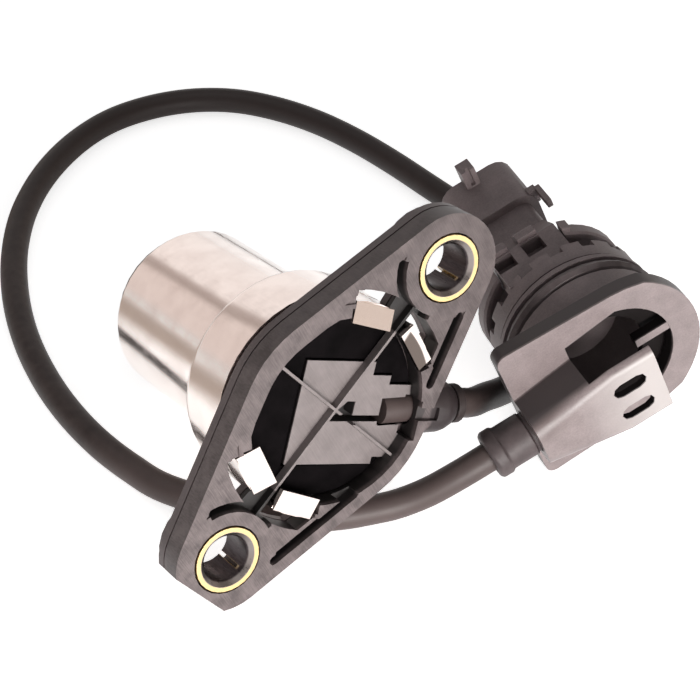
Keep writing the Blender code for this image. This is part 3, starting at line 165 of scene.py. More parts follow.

# Connector: z runs out of the cap's face, and x along the hood, whose mouth is at low x
# Painted sheen: the hood's top paler away from its mouth
CAP_SHEEN = (0.44, 0.41, 0.40)
SHEEN_FADE = (-9.0, 3.0)
SHEEN_HEIGHT = 7.2
# Painted shade: the hood's mouth darker, more so on its far side
CAP_MOUTH_SHADE = (0.10, 0.072, 0.068)
MOUTH_FADE = (-8.0, -13.0)
MOUTH_HEIGHT = 4.0
MOUTH_SIDE = (0.5, 4.5)
# Painted shade on the hood's flanks and on the plate's side
CAP_SIDE_SHADE = (0.055, 0.045, 0.046)
OPENING_RADIUS = 11.3
OPENING_TOP = -0.5
PLATE_TOP = 0.3
PLATE_SIDE_TOP = -0.3
HOOD_SPREAD = 0.105
HOOD_INNER_HALF = 5.75
HOOD_OUTER_HALF = 5.85
HOOD_INNER_END = -15.2
ROOF_RUN = (-15.6, -9.0)
ROOF_HEIGHT = (6.25, 6.9)
FLANK_TOP = (5.4, 6.6)
TIE_SLOT_OFFSET = 2.6
TIE_SLOT_HALF_WIDTH = 1.5
TIE_SLOT_HALF_LENGTH = 3.0
TIE_SLOT_BOTTOM, TIE_SLOT_TOP = 6.0, 7.3
CUP_RADIUS = 11.0
CUP_BOTTOM, CUP_TOP = -12.5, -2.5
CUP_LEDGE = (-3.9, -3.7)

# Cable jacket, in world axes
# Near run lighter: partly dust, partly painted sheen, stronger low down. Far loop darker: painted
# shade. The start is darker too
JACKET_DARKER, JACKET_DUST_AND_SHEEN = (0.026, 0.018, 0.017), (0.090, 0.067, 0.064)
LOOP_SHADE_FADE = (40.0, 85.0)
START_X, START_Y = 20.0, 2.0
DUST_AND_SHEEN_FADE = (2.0, -5.0)
DUST_AND_SHEEN_HEIGHT = (2.0, 8.0)

# Cable: its start in the flange, its far end in the boot, and the chosen points between, which
# are in millimetres. The last three of them lead smoothly into the boot
CABLE_RADIUS = 2.28 * MM
EXIT_DEPTH = 4.2 * MM
EXIT_SIDE = OUTLET_SIDE * MM
EXIT_SWING = 4.0
EXIT_START = 10.008 * MM
EXIT_BOSS_END = 22.6 * MM
GLAND_LENGTH = 1.3 * MM
CAP_END = 15.6 * MM
BOOT_LENGTH = 7.4 * MM
BOOT_NECK_LENGTH = 4.0 * MM
BOOT_LEAD = 1.2 * CABLE_RADIUS
BOOT_SPARE = 0.1
HOOD_AXIS_HEIGHT = 2.6 * MM
CABLE_ROUTE = (
    (26.7, 3.3, 13.1),
    (29.4, 7.6, 10.4),
    (32.2, 12.4, 7.1),
    (35.4, 18.1, 3.8),
    (37.3, 23.7, 2.5),
    (38.8, 34.1, 2.3),
    (39.2, 44.5, 2.3),
    (37.3, 54.0, 2.3),
    (33.1, 60.9, 2.3),
    (28.8, 65.8, 2.3),
    (23.1, 71.8, 2.3),
    (16.7, 78.5, 2.3),
    (10.0, 84.7, 2.3),
    (2.8, 90.0, 2.3),
    (-4.9, 93.8, 2.3),
    (-12.9, 95.8, 2.3),
    (-21.0, 95.3, 2.3),
    (-28.8, 92.4, 2.3),
    (-35.9, 87.3, 2.3),
    (-41.6, 79.8, 2.3),
    (-45.9, 70.1, 2.3),
    (-48.3, 59.0, 2.3),
    (-48.5, 47.4, 2.3),
    (-46.9, 36.2, 2.3),
    (-44.0, 26.0, 2.3),
    (-40.0, 16.9, 2.3),
    (-35.4, 9.2, 2.3),
    (-30.1, 2.5, 2.3),
    (-24.4, -2.9, 2.3),
    (-18.6, -7.0, 2.3),
    (-7.6, -10.8, 2.3),
    (-0.1, -11.8, 2.3),
    (7.3, -11.0, 2.3),
    (14.1, -9.0, 2.3),
    (17.5, -8.1, 3.0),
    (20.8, -7.5, 4.6),
    (24.0, -6.8, 6.65),
)
ROUTE_POINTS = 240
ROUTE_STEPS = 24
CABLE_BEVEL_STEPS = 8


def turned(matrix, degrees):
    """A matrix, turned further about its own z."""
    return matrix @ Matrix.Rotation(math.radians(degrees), 4, "Z")


def assembly(place, turn):
    """World matrix of one assembly, from its place and its turn in degrees."""
    x, y, z = (math.radians(a) for a in turn)
    facing = Matrix.Translation(place) @ Matrix.Rotation(z, 4, "Z")
    return facing @ Matrix.Rotation(y, 4, "Y") @ Matrix.Rotation(x, 4, "X")


HEAD = assembly(HEAD_PLACE, HEAD_TURN)
CONNECTOR = assembly(CONNECTOR_PLACE, CONNECTOR_TURN)


class Nodes:
    """Short way to build the node tree of one material or world."""

    def __init__(self, owner):
        owner.use_nodes = True
        self.owner = owner
        self.tree = owner.node_tree
        self.shader = self.tree.nodes.get("Principled BSDF")

    def add(self, kind, **settings):
        node = self.tree.nodes.new(kind)
        for key, value in settings.items():
            setattr(node, key, value)
        return node

    def feed(self, value, socket):
        """Set a socket to a number or a colour, or link it to another socket."""
        if isinstance(value, tuple):
            socket.default_value = (*value, 1.0)
        elif isinstance(value, (int, float)):
            socket.default_value = value
        else:
            self.tree.links.new(value, socket)

    def place(self, matrix, scale=(1.0, 1.0, 1.0)):
        """Object coordinates in millimetres, turned into an assembly's own axes."""
        coords = self.add("ShaderNodeTexCoord")
        shift = self.add("ShaderNodeVectorMath", operation="SUBTRACT")
        shift.inputs[1].default_value = matrix.translation
        self.feed(coords.outputs["Object"], shift.inputs[0])
        turn = self.add("ShaderNodeVectorRotate", rotation_type="EULER_XYZ")
        turn.inputs["Rotation"].default_value = matrix.to_3x3().inverted().to_euler()
        self.feed(shift.outputs["Vector"], turn.inputs["Vector"])
        grow = self.add("ShaderNodeVectorMath", operation="MULTIPLY")
        grow.inputs[1].default_value = [s / MM for s in scale]
        self.feed(turn.outputs["Vector"], grow.inputs[0])
        return grow.outputs["Vector"]

    def axes(self, vector):
        """The three coordinates of a vector."""
        node = self.add("ShaderNodeSeparateXYZ")
        self.feed(vector, node.inputs["Vector"])
        return node.outputs["X"], node.outputs["Y"], node.outputs["Z"]

    def noise(self, vector, scale, detail=3.0, roughness=0.55):
        node = self.add("ShaderNodeTexNoise")
        node.inputs["Scale"].default_value = scale
        node.inputs["Detail"].default_value = detail
        node.inputs["Roughness"].default_value = roughness
        self.feed(vector, node.inputs["Vector"])
        return node.outputs["Fac"]

    def math(self, operation, *values):
        node = self.add("ShaderNodeMath", operation=operation)
        for socket, value in zip(node.inputs, values):
            self.feed(value, socket)
        return node.outputs["Value"]

    def absolute(self, value):
        return self.math("ABSOLUTE", value)

    def fold(self, operation, first, *others):
        for other in others:
            first = self.math(operation, first, other)
        return first

    def total(self, *values):
        return self.fold("ADD", *values)

    def weighted(self, *pairs):
        """Sum of values, each times its share."""
        return self.total(*(self.math("MULTIPLY", value, share) for value, share in pairs))

    def all_of(self, *masks):
        return self.fold("MULTIPLY", *masks)

    def any_of(self, *masks):
        return self.fold("MAXIMUM", *masks)

    def radius(self, x, y):
        """Distance from an axis that runs along z."""
        return self.math("SQRT", self.weighted((x, x), (y, y)))

    def spread(self, value, span, result=(0.0, 1.0)):
        """Value stretched from one span to another, and held at its ends."""
        node = self.add("ShaderNodeMapRange")
        node.inputs["From Min"].default_value, node.inputs["From Max"].default_value = span
        node.inputs["To Min"].default_value, node.inputs["To Max"].default_value = result
        self.feed(value, node.inputs["Value"])
        return node.outputs["Result"]

    def below(self, value, edge, soft=0.1):
        """1 where value is under the edge, 0 where it is over, with a soft change."""
        return self.spread(value, (edge - soft, edge + soft), (1.0, 0.0))

    def above(self, value, edge, soft=0.1):
        """0 where value is under the edge, 1 where it is over, with a soft change."""
        return self.spread(value, (edge - soft, edge + soft))

    def mix(self, factor, first, second, blend_type="MIX"):
        """Colour mix; first and second are colours or sockets."""
        node = self.add("ShaderNodeMix", data_type="RGBA", blend_type=blend_type)
        self.feed(factor, node.inputs["Factor"])
        self.feed(first, node.inputs["A"])
        self.feed(second, node.inputs["B"])
        return node.outputs["Result"]

    def bands(self, value, stops):
        """Colour by one coordinate of a direction, which runs from -1 to 1."""
        scaled = self.spread(value, (-1.0, 1.0))
        ramp = self.add("ShaderNodeValToRGB")
        ramp.color_ramp.interpolation = "EASE"
        elements = ramp.color_ramp.elements
        while len(elements) < len(stops):
            elements.new(0.5)
        for element, (position, colour) in zip(elements, stops):
            element.position = (position + 1.0) / 2.0
            element.color = (*colour, 1.0)
        self.feed(scaled, ramp.inputs["Fac"])
        return ramp.outputs["Color"]

    def background(self, colour, strength=1.0):
        node = self.add("ShaderNodeBackground")
        self.feed(colour, node.inputs["Color"])
        self.feed(strength, node.inputs["Strength"])
        return node.outputs["Background"]

    def shader_mix(self, factor, first, second):
        node = self.add("ShaderNodeMixShader")
        self.feed(factor, node.inputs["Fac"])
        self.feed(first, node.inputs[1])
        self.feed(second, node.inputs[2])
        return node.outputs["Shader"]

    def bump(self, height, strength, distance):
        node = self.add("ShaderNodeBump")
        node.inputs["Strength"].default_value = strength
        node.inputs["Distance"].default_value = distance
        self.feed(height, node.inputs["Height"])
        self.feed(node.outputs["Normal"], self.shader.inputs["Normal"])

    def set(self, **values):
        for key, value in values.items():
            self.feed(value, self.shader.inputs[key.replace("_", " ")])
        return self.owner


def material_nodes(name):
    return Nodes(bpy.data.materials.new(name))


def moulded_plastic(name, matrix, dark, light, roughness, streaks=0.5, shading=None):
    """Black moulded plastic with a scuffed skin: mottling, fine directional streaks and grain.

    Where the shading paints shade on it, as in a recess, its gloss goes too.
    """
    n = material_nodes(name)
    even = n.place(matrix)
    mottle = n.noise(even, scale=0.35, detail=4.0)
    streak = n.noise(n.place(matrix, (0.35, 6.0, 1.0)), scale=1.1, detail=5.0, roughness=0.7)
    fine = n.noise(even, scale=9.0, detail=2.0)
    speckle = n.noise(even, scale=3.5, detail=3.0, roughness=0.65)
    mottles, speckles, contrast = 0.5, 0.6 - streaks * 0.5, 0.2
    shade = n.weighted((mottle, mottles), (streak, streaks), (speckle, speckles))
    middle = (mottles + streaks + speckles) / 2.0
    colour = n.mix(n.spread(shade, (middle - contrast, middle + contrast)), dark, light)
    gloss, painted_shade_gloss = 0.55, 0.06
    if shading:
        colour = shading(n, n.axes(even), colour)
        gloss = n.spread(colour, (0.015, 0.05), (painted_shade_gloss, gloss))
    rough = n.spread(n.total(streak, mottle), (0.7, 1.3), (roughness - 0.07, roughness + 0.09))
    n.bump(n.weighted((fine, 0.3), (streak, streaks)), strength=0.25, distance=0.06 * MM)
    return n.set(Base_Color=colour, Roughness=rough, Specular_IOR_Level=gloss)


def cap_shading(n, place, colour):
    """The cap: painted sheen on the hood's top, painted shade in the mouth, on the flanks and the
    plate's side, and inside the opening, the hood and the tie slots.
    """
    x, y, z = place
    off_middle = n.absolute(y)
    # Painted sheen on the hood's top, paler away from the mouth
    sheen = n.all_of(n.spread(x, SHEEN_FADE, (0.0, 0.85)), n.above(z, SHEEN_HEIGHT, 0.2))
    colour = n.mix(sheen, colour, CAP_SHEEN)
    # Painted shade in the hood's mouth
    mouth_shade = n.all_of(n.spread(x, MOUTH_FADE, (0.0, 0.65)), n.above(z, MOUTH_HEIGHT, 1.5),
                     n.spread(y, MOUTH_SIDE, (0.1, 1.0)))
    colour = n.mix(mouth_shade, colour, CAP_MOUTH_SHADE)
    # Painted shade inside the opening, under the hood's roof and in the tie slots
    opening = n.all_of(n.below(n.radius(x, y), OPENING_RADIUS), n.below(z, OPENING_TOP))
    width = n.math("SUBTRACT", off_middle, n.math("MULTIPLY", x, HOOD_SPREAD))
    from_roof = n.math("SUBTRACT", z, n.spread(x, ROOF_RUN, ROOF_HEIGHT))
    hood = n.all_of(n.below(width, HOOD_INNER_HALF), n.below(from_roof, 0.0, 0.06),
                    n.above(z, PLATE_TOP), n.above(x, HOOD_INNER_END))
    from_slot = n.absolute(n.math("SUBTRACT", off_middle, TIE_SLOT_OFFSET))
    tie_slots = n.all_of(n.below(from_slot, TIE_SLOT_HALF_WIDTH),
                         n.below(n.absolute(x), TIE_SLOT_HALF_LENGTH),
                         n.below(z, TIE_SLOT_TOP, 0.05), n.above(z, TIE_SLOT_BOTTOM))
    # Painted shade on the hood's flanks and the plate's side
    flank_shade = n.all_of(n.above(width, HOOD_OUTER_HALF), n.spread(z, FLANK_TOP, (1.0, 0.0)),
                      n.above(z, PLATE_TOP))
    colour = n.mix(n.any_of(flank_shade, n.below(z, PLATE_SIDE_TOP)), colour, CAP_SIDE_SHADE)
    return n.mix(n.any_of(opening, hood, tie_slots), colour, RECESS_SHADE)


def body_shading(n, place, colour):
    """The connector body: painted shade on the ledge inside its cup, half as strong on the cup's
    walls.
    """
    x, y, z = place
    cup = n.all_of(n.below(n.radius(x, y), CUP_RADIUS), n.below(z, CUP_TOP),
                   n.above(z, CUP_BOTTOM))
    # Painted shade inside the cup
    return n.mix(n.all_of(cup, n.spread(z, CUP_LEDGE, (0.55, 1.0))), colour, RECESS_SHADE)


def flange_plastic():
    """The flange: a scuffed face with fine slanting marks and painted shade towards the upper bush,
    a paler block, and painted shade in its grooves and slot.
    """
    n = material_nodes("flange_plastic")
    even = n.place(HEAD)
    x, y, z = n.axes(even)
    mottle = n.noise(even, scale=0.35, detail=4.0)
    slanted = n.place(turned(HEAD, STREAK_TURN), (0.3, 7.0, 1.0))
    streak = n.noise(slanted, scale=1.0, detail=5.0, roughness=0.7)
    fine = n.noise(even, scale=8.0, detail=3.0)
    shade = n.weighted((mottle, 0.55), (streak, 0.55))
    face = n.mix(n.spread(shade, (0.44, 0.66)), FACE_DARK, FACE_LIGHT)
    # Painted shade: the face darker towards the upper bush
    face = n.mix(n.spread(x, FACE_SHADE_FADE, (0.0, 0.45)), face, FACE_DARK)
    block = n.mix(n.spread(shade, (0.35, 0.75)), BLOCK_DARK, BLOCK_LIGHT)
    away = n.radius(x, y)
    in_well = n.below(away, WELL_EDGE)
    colour = n.mix(n.all_of(in_well, n.below(z, BLOCK_TONE_TOP)), face, block)
    flat_x, flat_y = n.absolute(x), n.absolute(y)
    side = n.weighted((flat_x, OUTLINE_SLOPE[0]), (flat_y, OUTLINE_SLOPE[1]))
    # Painted shade: the grooves and the slot go dark with depth
    grooves = n.all_of(n.below(n.any_of(side, flat_y), GROOVE_EDGE),
                       n.below(flat_x, GROOVE_REACH), n.above(away, WELL_EDGE),
                       n.spread(z, GROOVE_TOP, (1.0, 0.0)))
    slot = n.all_of(in_well, n.spread(z, SLOT_TOP, (1.0, 0.0)))
    colour = n.mix(n.any_of(grooves, slot), colour, RECESS_SHADE)
    along, across, _ = n.axes(n.place(turned(HEAD, BLOCK_TURN)))
    aside = n.absolute(n.math("SUBTRACT", across, OUTLET_SIDE))
    outlet = n.all_of(n.above(along, OUTLET_START, 0.2), n.below(aside, OUTLET_HALF))
    colour = n.mix(outlet, colour, EXIT_DARK)
    rough = n.spread(n.total(streak, mottle), (0.7, 1.3), (0.40, 0.55))
    n.bump(n.weighted((fine, 0.25), (streak, 0.6)), strength=0.25, distance=0.05 * MM)
    return n.set(Base_Color=colour, Roughness=rough, Specular_IOR_Level=0.5)


def bush_metal(name, centre):
    """A split brass bush: bright front ring, a slit drawn as a painted highlight, grey chamfer, and
    a dull bore darkened as painted shade.
    """
    n = material_nodes(name)
    bush = HEAD @ Matrix.Translation((centre * MM, 0.0, 0.0))
    even = n.place(bush)
    x, y, z = n.axes(even)
    away = n.radius(x, y)
    along, across, _ = n.axes(n.place(turned(bush, SLIT_TURN)))
    drawn = n.noise(n.place(HEAD, (1.0, 1.0, 0.2)), scale=3.0, detail=4.0, roughness=0.6)
    cloud = n.noise(even, scale=0.8, detail=3.0)
    brass = n.mix(n.spread(cloud, (0.35, 0.7)), BRASS_FRESH, BRASS_DULL)
    # Painted shade on the bore
    bore_shade = n.mix(n.spread(drawn, (0.3, 0.7)), BORE_SHADE_DARK, BORE_SHADE_LIGHT)
    chamfer_and_bore_shade = n.mix(n.below(away, BORE_RADIUS, 0.08), CHAMFER_GREY, bore_shade)
    # Painted highlight: the slit bright gold, and not metal so that it stays lit
    slit_highlight = n.all_of(n.below(n.absolute(across), SLIT_HALF, 0.04),
                    n.above(along, SLIT_START, 0.05), n.below(z, SLIT_TOP))
    colour = n.mix(n.any_of(n.above(away, RING_RADIUS, 0.06), slit_highlight), chamfer_and_bore_shade, brass)
    rough = n.spread(n.total(drawn, cloud), (0.7, 1.3), (0.24, 0.4))
    metallic = n.spread(slit_highlight, (0.0, 1.0), (1.0, 0.0))
    n.bump(drawn, strength=0.1, distance=0.03 * MM)
    return n.set(Base_Color=colour, Roughness=rough, Metallic=metallic)


def jacket_dust_and_sheen(n, place, colour):
    """The cable's near run is lighter, partly dust and partly painted sheen, more so low down; its
    far loop is darker as painted shade, and its start is darker too.
    """
    x, y, z = place
    start = n.all_of(n.above(x, START_X, 3.0), n.above(y, START_Y, 2.0))
    # Painted shade on the far loop; the start is darker too
    colour = n.mix(n.any_of(n.spread(y, LOOP_SHADE_FADE), start), colour, JACKET_DARKER)
    # Partly dust and partly painted sheen on the near run, stronger low down
    dust_and_sheen = n.all_of(n.spread(y, DUST_AND_SHEEN_FADE, (0.0, 0.8)), n.spread(z, DUST_AND_SHEEN_HEIGHT, (1.0, 0.65)))
    return n.mix(dust_and_sheen, colour, JACKET_DUST_AND_SHEEN)


def matt_rubber(name, matrix, dark, light, roughness, shading=None):
    """Rubber or cable jacket: dull, faintly dusty, with a fine orange-peel skin."""
    n = material_nodes(name)
    even = n.place(matrix)
    mottle = n.noise(even, scale=0.5, detail=4.0)
    fine = n.noise(even, scale=7.0, detail=3.0)
    colour = n.mix(n.spread(mottle, (0.3, 0.75)), dark, light)
    if shading:
        colour = shading(n, n.axes(even), colour)
    rough = n.spread(fine, (0.3, 0.7), (roughness - 0.06, roughness + 0.08))
    n.bump(fine, strength=0.2, distance=0.05 * MM)
    return n.set(Base_Color=colour, Roughness=rough, Specular_IOR_Level=0.35)


def tab_painted_reflection(n, place, tint):
    """One folded tab is darkened brown towards its end, as a painted reflection."""
    x, y, z = place
    spot = n.all_of(n.below(n.radius(x, y), TAB_REFLECTION_RADIUS), n.above(x, TAB_REFLECTION_START),
                    n.below(y, TAB_REFLECTION_HIGH, 0.2), n.above(y, TAB_REFLECTION_LOW),
                    n.above(z, TAB_REFLECTION_BOTTOM))
    return n.mix(spot, tint, TAB_DARK_REFLECTION)


def plated_metal(name, matrix, colour, worn, roughness, stretch, shading=None):
    """Bright plated metal with drawing marks along one axis and small scratches."""
    n = material_nodes(name)
    even = n.place(matrix)
    drawn = n.noise(n.place(matrix, stretch), scale=3.0, detail=4.0, roughness=0.6)
    cloud = n.noise(even, scale=0.25, detail=3.0)
    tint = n.mix(n.spread(cloud, (0.35, 0.7)), colour, worn)
    if shading:
        tint = shading(n, n.axes(even), tint)
    rough = n.spread(n.total(drawn, cloud), (0.7, 1.3), (roughness - 0.05, roughness + 0.07))
    n.bump(drawn, strength=0.06, distance=0.02 * MM)
    return n.set(Base_Color=tint, Roughness=rough, Metallic=1.0)


def cast_resin(name, matrix, dark, light):
    """Black potting resin, nearly smooth with slow waves."""
    n = material_nodes(name)
    wave = n.noise(n.place(matrix), scale=0.3, detail=2.0)
    colour = n.mix(n.spread(wave, (0.3, 0.7)), dark, light)
    rough = n.spread(wave, (0.3, 0.7), (0.5, 0.62))
    n.bump(wave, strength=0.3, distance=0.2 * MM)
    return n.set(Base_Color=colour, Roughness=rough, Specular_IOR_Level=0.02)


def plain_variation(name, dark, light, roughness, metallic=0.0):
    """Small pieces inside the head: one colour with slight mottling."""
    n = material_nodes(name)
    cloud = n.noise(n.place(HEAD), scale=1.5, detail=3.0)
    colour = n.mix(n.spread(cloud, (0.3, 0.7)), dark, light)
    rough = n.spread(cloud, (0.3, 0.7), (roughness - 0.05, roughness + 0.05))
    return n.set(Base_Color=colour, Roughness=rough, Metallic=metallic)


# Each material's two tones are linear colours, and its roughness follows them
BACK = moulded_plastic("back_plastic", HEAD, (0.080, 0.062, 0.063), (0.145, 0.114, 0.115), 0.48)
# The cap's two tones are paler than its black plastic: painted sheen over the cap
CAP = moulded_plastic("cap_plastic", CONNECTOR, (0.15, 0.119, 0.120), (0.25, 0.207, 0.205), 0.4,
                      streaks=0.2, shading=cap_shading)
BODY = moulded_plastic("body_plastic", CONNECTOR, (0.122, 0.096, 0.098), (0.205, 0.163, 0.165),
                       0.5, streaks=0.2, shading=body_shading)
RUBBER = matt_rubber("seal_rubber", CONNECTOR, (0.046, 0.035, 0.036), (0.080, 0.062, 0.063), 0.5)
SEAL = matt_rubber("ring_rubber", CONNECTOR, (0.080, 0.063, 0.064), (0.13, 0.104, 0.105), 0.5)
GLAND = matt_rubber("gland_rubber", HEAD, (0.020, 0.014, 0.014), (0.038, 0.028, 0.027), 0.55)
JACKET = matt_rubber("cable_jacket", Matrix.Identity(4), (0.030, 0.021, 0.020),
                     (0.054, 0.040, 0.037), 0.48, shading=jacket_dust_and_sheen)
NICKEL = plated_metal("nickel_plate", HEAD, (0.93, 0.85, 0.81), (0.85, 0.76, 0.72), 0.15,
                      stretch=(1.0, 1.0, 0.1), shading=tab_painted_reflection)
TIN = plated_metal("tinned_contact", CONNECTOR, (0.78, 0.77, 0.74), (0.68, 0.66, 0.63), 0.25,
                   stretch=(1.0, 1.0, 0.2))
RESIN = cast_resin("potting", HEAD, (0.002, 0.0016, 0.0018), (0.005, 0.004, 0.0045))
BOARD = plain_variation("board_mask", (0.02, 0.12, 0.05), (0.03, 0.17, 0.07), 0.4)
CHIP = plain_variation("chip_case", (0.015, 0.015, 0.015), (0.03, 0.03, 0.03), 0.5)
MAGNET = plain_variation("magnet_steel", (0.22, 0.22, 0.23), (0.30, 0.30, 0.31), 0.35, 1.0)

FINISHES = {
    "mounting_flange": flange_plastic(),
    "flange_back_plate": BACK,
    "bush_upper": bush_metal("bush_upper_brass", BUSH_PLACES["bush_upper"]),
    "bush_lower": bush_metal("bush_lower_brass", BUSH_PLACES["bush_lower"]),
    "sensor_can": NICKEL,
    "tip_cap": BACK,
    "potting_fill": RESIN,
    "inner_carrier": BACK,
    "bias_magnet": MAGNET,
    "circuit_board": BOARD,
    "position_chip": CHIP,
    "board_capacitor_1": TIN,
    "board_capacitor_2": TIN,
    "signal_wire_1": plain_variation("wire_one", (0.40, 0.03, 0.02), (0.48, 0.05, 0.03), 0.45),
    "signal_wire_2": plain_variation("wire_two", (0.62, 0.62, 0.58), (0.72, 0.72, 0.68), 0.45),
    "signal_wire_3": plain_variation("wire_three", (0.03, 0.07, 0.32), (0.05, 0.10, 0.38), 0.45),
    "cable_gland": GLAND,
    "connector_cap": CAP,
    "connector_body": BODY,
    "body_seal": SEAL,
    "retaining_ring": BODY,
    "pin_insert": BACK,
    "contact_pin_1": TIN,
    "contact_pin_2": TIN,
    "contact_pin_3": TIN,
    "cable_boot": RUBBER,
}


def smooth_edges(obj, width):
    """Rounded edges and clean shading on a carried-over solid, by modifiers alone."""
    for polygon in obj.data.polygons:
        polygon.use_smooth = True
    weld = obj.modifiers.new("Weld", "WELD")
    weld.merge_threshold = WELD_REACH
    bevel = obj.modifiers.new("Edges", "BEVEL")
    bevel.width = width
    bevel.segments = EDGE_SEGMENTS
    bevel.limit_method = "ANGLE"
    bevel.angle_limit = math.radians(EDGE_ANGLE)
    bevel.use_clamp_overlap = True
    bevel.harden_normals = True
    bevel.miter_outer = "MITER_ARC"
    flatten = obj.modifiers.new("Normals", "WEIGHTED_NORMAL")
    flatten.weight = NORMAL_WEIGHT
    flatten.keep_sharp = False


def dress_nodes():
    """Give every carried-over solid its material, and the outer ones rounded edges."""
    for name, finish in FINISHES.items():
        obj = NODES[name]
        obj.data.materials.clear()
        obj.data.materials.append(finish)
        if name in EDGE_WIDTHS:
            smooth_edges(obj, EDGE_WIDTHS[name] * MM)


def exit_point(distance):
    """A point on the line along which the cable leaves the flange."""
    sway = EXIT_SIDE + (distance - EXIT_START) * math.tan(math.radians(EXIT_SWING))
    flat = Matrix.Rotation(math.radians(BLOCK_TURN), 3, "Z") @ Vector((distance, sway, 0.0))
    return HEAD @ Vector((flat.x, flat.y, -EXIT_DEPTH))


def hood_point(x):
    """A point on the hood's axis, on which the boot sits."""
    return CONNECTOR @ Vector((x, 0, HOOD_AXIS_HEIGHT))


def smooth_route(chosen, count):
    """Evenly spaced points on one smooth curve through the chosen ones, never below the surface."""
    ends = [chosen[0] * 2 - chosen[1]] + chosen + [chosen[-1] * 2 - chosen[-2]]
    fine = []
    for p0, p1, p2, p3 in zip(ends, ends[1:], ends[2:], ends[3:]):
        for step in range(ROUTE_STEPS):
            s = step / ROUTE_STEPS
            fine.append(0.5 * (2 * p1 + (p2 - p0) * s + (2 * p0 - 5 * p1 + 4 * p2 - p3) * s * s
                               + (3 * p1 - p0 - 3 * p2 + p3) * s ** 3))
    fine.append(chosen[-1])
    for point in fine:
        point.z = max(point.z, CABLE_RADIUS)
    lengths = [0.0]
    for a, b in zip(fine, fine[1:]):
        lengths.append(lengths[-1] + (b - a).length)
    route, k = [], 0
    for i in range(count):
        want = lengths[-1] * i / (count - 1)
        while k < len(fine) - 2 and lengths[k + 1] < want:
            k += 1
        share = (want - lengths[k]) / (lengths[k + 1] - lengths[k])
        route.append(fine[k].lerp(fine[k + 1], min(max(share, 0.0), 1.0)))
    return route, lengths[-1]


def free_cable():
    """The cable at its real length, from its bed in the flange to its boot."""
    boot_back = hood_point(-CAP_END + BOOT_NECK_LENGTH)
    boot_front = hood_point(-CAP_END - BOOT_LENGTH)
    boot_lead = hood_point(-CAP_END - BOOT_LENGTH - BOOT_LEAD)
    chosen = [exit_point(EXIT_START), exit_point(EXIT_BOSS_END + GLAND_LENGTH)]
    chosen += [Vector(p) * MM for p in CABLE_ROUTE]
    chosen += [boot_lead, boot_front, boot_back * (1 - BOOT_SPARE) + boot_front * BOOT_SPARE]
    route, length = smooth_route(chosen, ROUTE_POINTS)
    curve = bpy.data.curves.new("cable_run", "CURVE")
    curve.dimensions = "3D"
    curve.bevel_depth = CABLE_RADIUS
    curve.bevel_resolution = CABLE_BEVEL_STEPS
    curve.use_fill_caps = True
    spline = curve.splines.new("POLY")
    spline.points.add(len(route) - 1)
    for target, point in zip(spline.points, route):
        target.co = (*point, 1.0)
    spline.use_smooth = True
    run = bpy.data.objects.new("cable_run", curve)
    bpy.context.scene.collection.objects.link(run)
    run.data.materials.append(JACKET)
    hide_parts("cable")
    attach(run, "root")


def make_world():
    """Even pale surroundings that the camera sees as white; mirror rays see soft panels."""
    world = bpy.data.worlds.new("surroundings")
    bpy.context.scene.world = world
    n = Nodes(world)
    n.tree.nodes.clear()
    path = n.add("ShaderNodeLightPath").outputs
    x, _, z = n.axes(n.add("ShaderNodeTexCoord").outputs["Generated"])
    panels = n.mix(1.0, n.bands(x, SIDE_BANDS), n.bands(z, HEIGHT_BANDS), "MULTIPLY")
    even = n.background(WORLD_COLOUR, WORLD_LEVEL)
    unseen = n.shader_mix(path["Is Glossy Ray"], even, n.background(panels))
    seen = n.shader_mix(path["Is Camera Ray"], unseen, n.background(WHITE))
    n.feed(seen, n.add("ShaderNodeOutputWorld").inputs["Surface"])


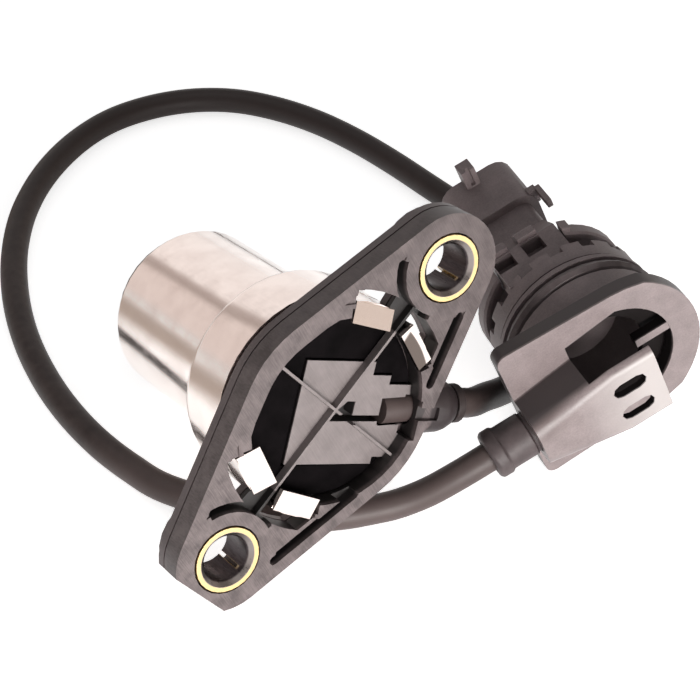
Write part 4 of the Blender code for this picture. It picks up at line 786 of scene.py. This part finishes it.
def make_floor():
    """Pale floor that keeps the object's shadow and reads as white to the camera.

    Mirror rays see it as the camera does, apart from the dim beige strip to the left.
    """
    bm = bmesh.new()
    bmesh.ops.create_circle(bm, cap_ends=True, segments=FLOOR_SEGMENTS, radius=FLOOR_RADIUS)
    mesh = bpy.data.meshes.new("floor")
    bm.to_mesh(mesh)
    bm.free()
    floor = bpy.data.objects.new("floor", mesh)
    floor.location.z = -FLOOR_DROP
    bpy.context.scene.collection.objects.link(floor)
    n = material_nodes("floor_paper")
    path = n.add("ShaderNodeLightPath").outputs
    seen = n.any_of(path["Is Camera Ray"], path["Is Glossy Ray"])
    x, y, _ = n.axes(n.add("ShaderNodeTexCoord").outputs["Object"])
    away = n.radius(x, y)
    dim = n.math("SUBTRACT", n.spread(away, STRIP_START),
                 n.spread(away, STRIP_END, (0.0, STRIP_END_SHARE)))
    strip = n.all_of(path["Is Glossy Ray"], n.spread(x, STRIP_LEFT), dim)
    paper = n.mix(seen, FLOOR_PAPER, WHITE)
    glow = n.math("SUBTRACT", n.spread(seen, (0.0, 1.0), (FLOOR_GLOW, FLOOR_SEEN)),
                  n.math("MULTIPLY", strip, FLOOR_SEEN - STRIP_GLOW))
    mesh.materials.append(n.set(Base_Color=n.mix(strip, paper, STRIP_TINT),
                                Roughness=FLOOR_ROUGHNESS, Specular_IOR_Level=0.0,
                                Emission_Color=WHITE, Emission_Strength=glow))


def make_lights():
    for name, place, size, power, colour in LAMPS:
        light = bpy.data.lights.new(name, "AREA")
        light.shape = "RECTANGLE"
        light.size, light.size_y = size
        light.energy = power
        light.color = colour
        obj = bpy.data.objects.new(name, light)
        obj.location = place
        aim = Vector(LAMP_TARGET) - Vector(place)
        obj.rotation_euler = aim.to_track_quat("-Z", "Y").to_euler()
        bpy.context.scene.collection.objects.link(obj)


def make_camera():
    right, up = Vector(CAMERA_RIGHT), Vector(CAMERA_UP)
    camera = bpy.data.cameras.new("camera")
    camera.lens = CAMERA_LENS
    camera.sensor_width = SENSOR_WIDTH
    camera.clip_start = CLIP_START
    obj = bpy.data.objects.new("camera", camera)
    bpy.context.scene.collection.objects.link(obj)
    turn = Matrix((right, up, right.cross(up))).transposed().to_4x4()
    obj.matrix_world = Matrix.Translation(Vector(HEAD_PLACE) + Vector(CAMERA_OFFSET)) @ turn
    bpy.context.scene.camera = obj


dress_nodes()
free_cable()
make_world()
make_floor()
make_lights()
make_camera()
bpy.context.scene.view_settings.view_transform = "Standard"
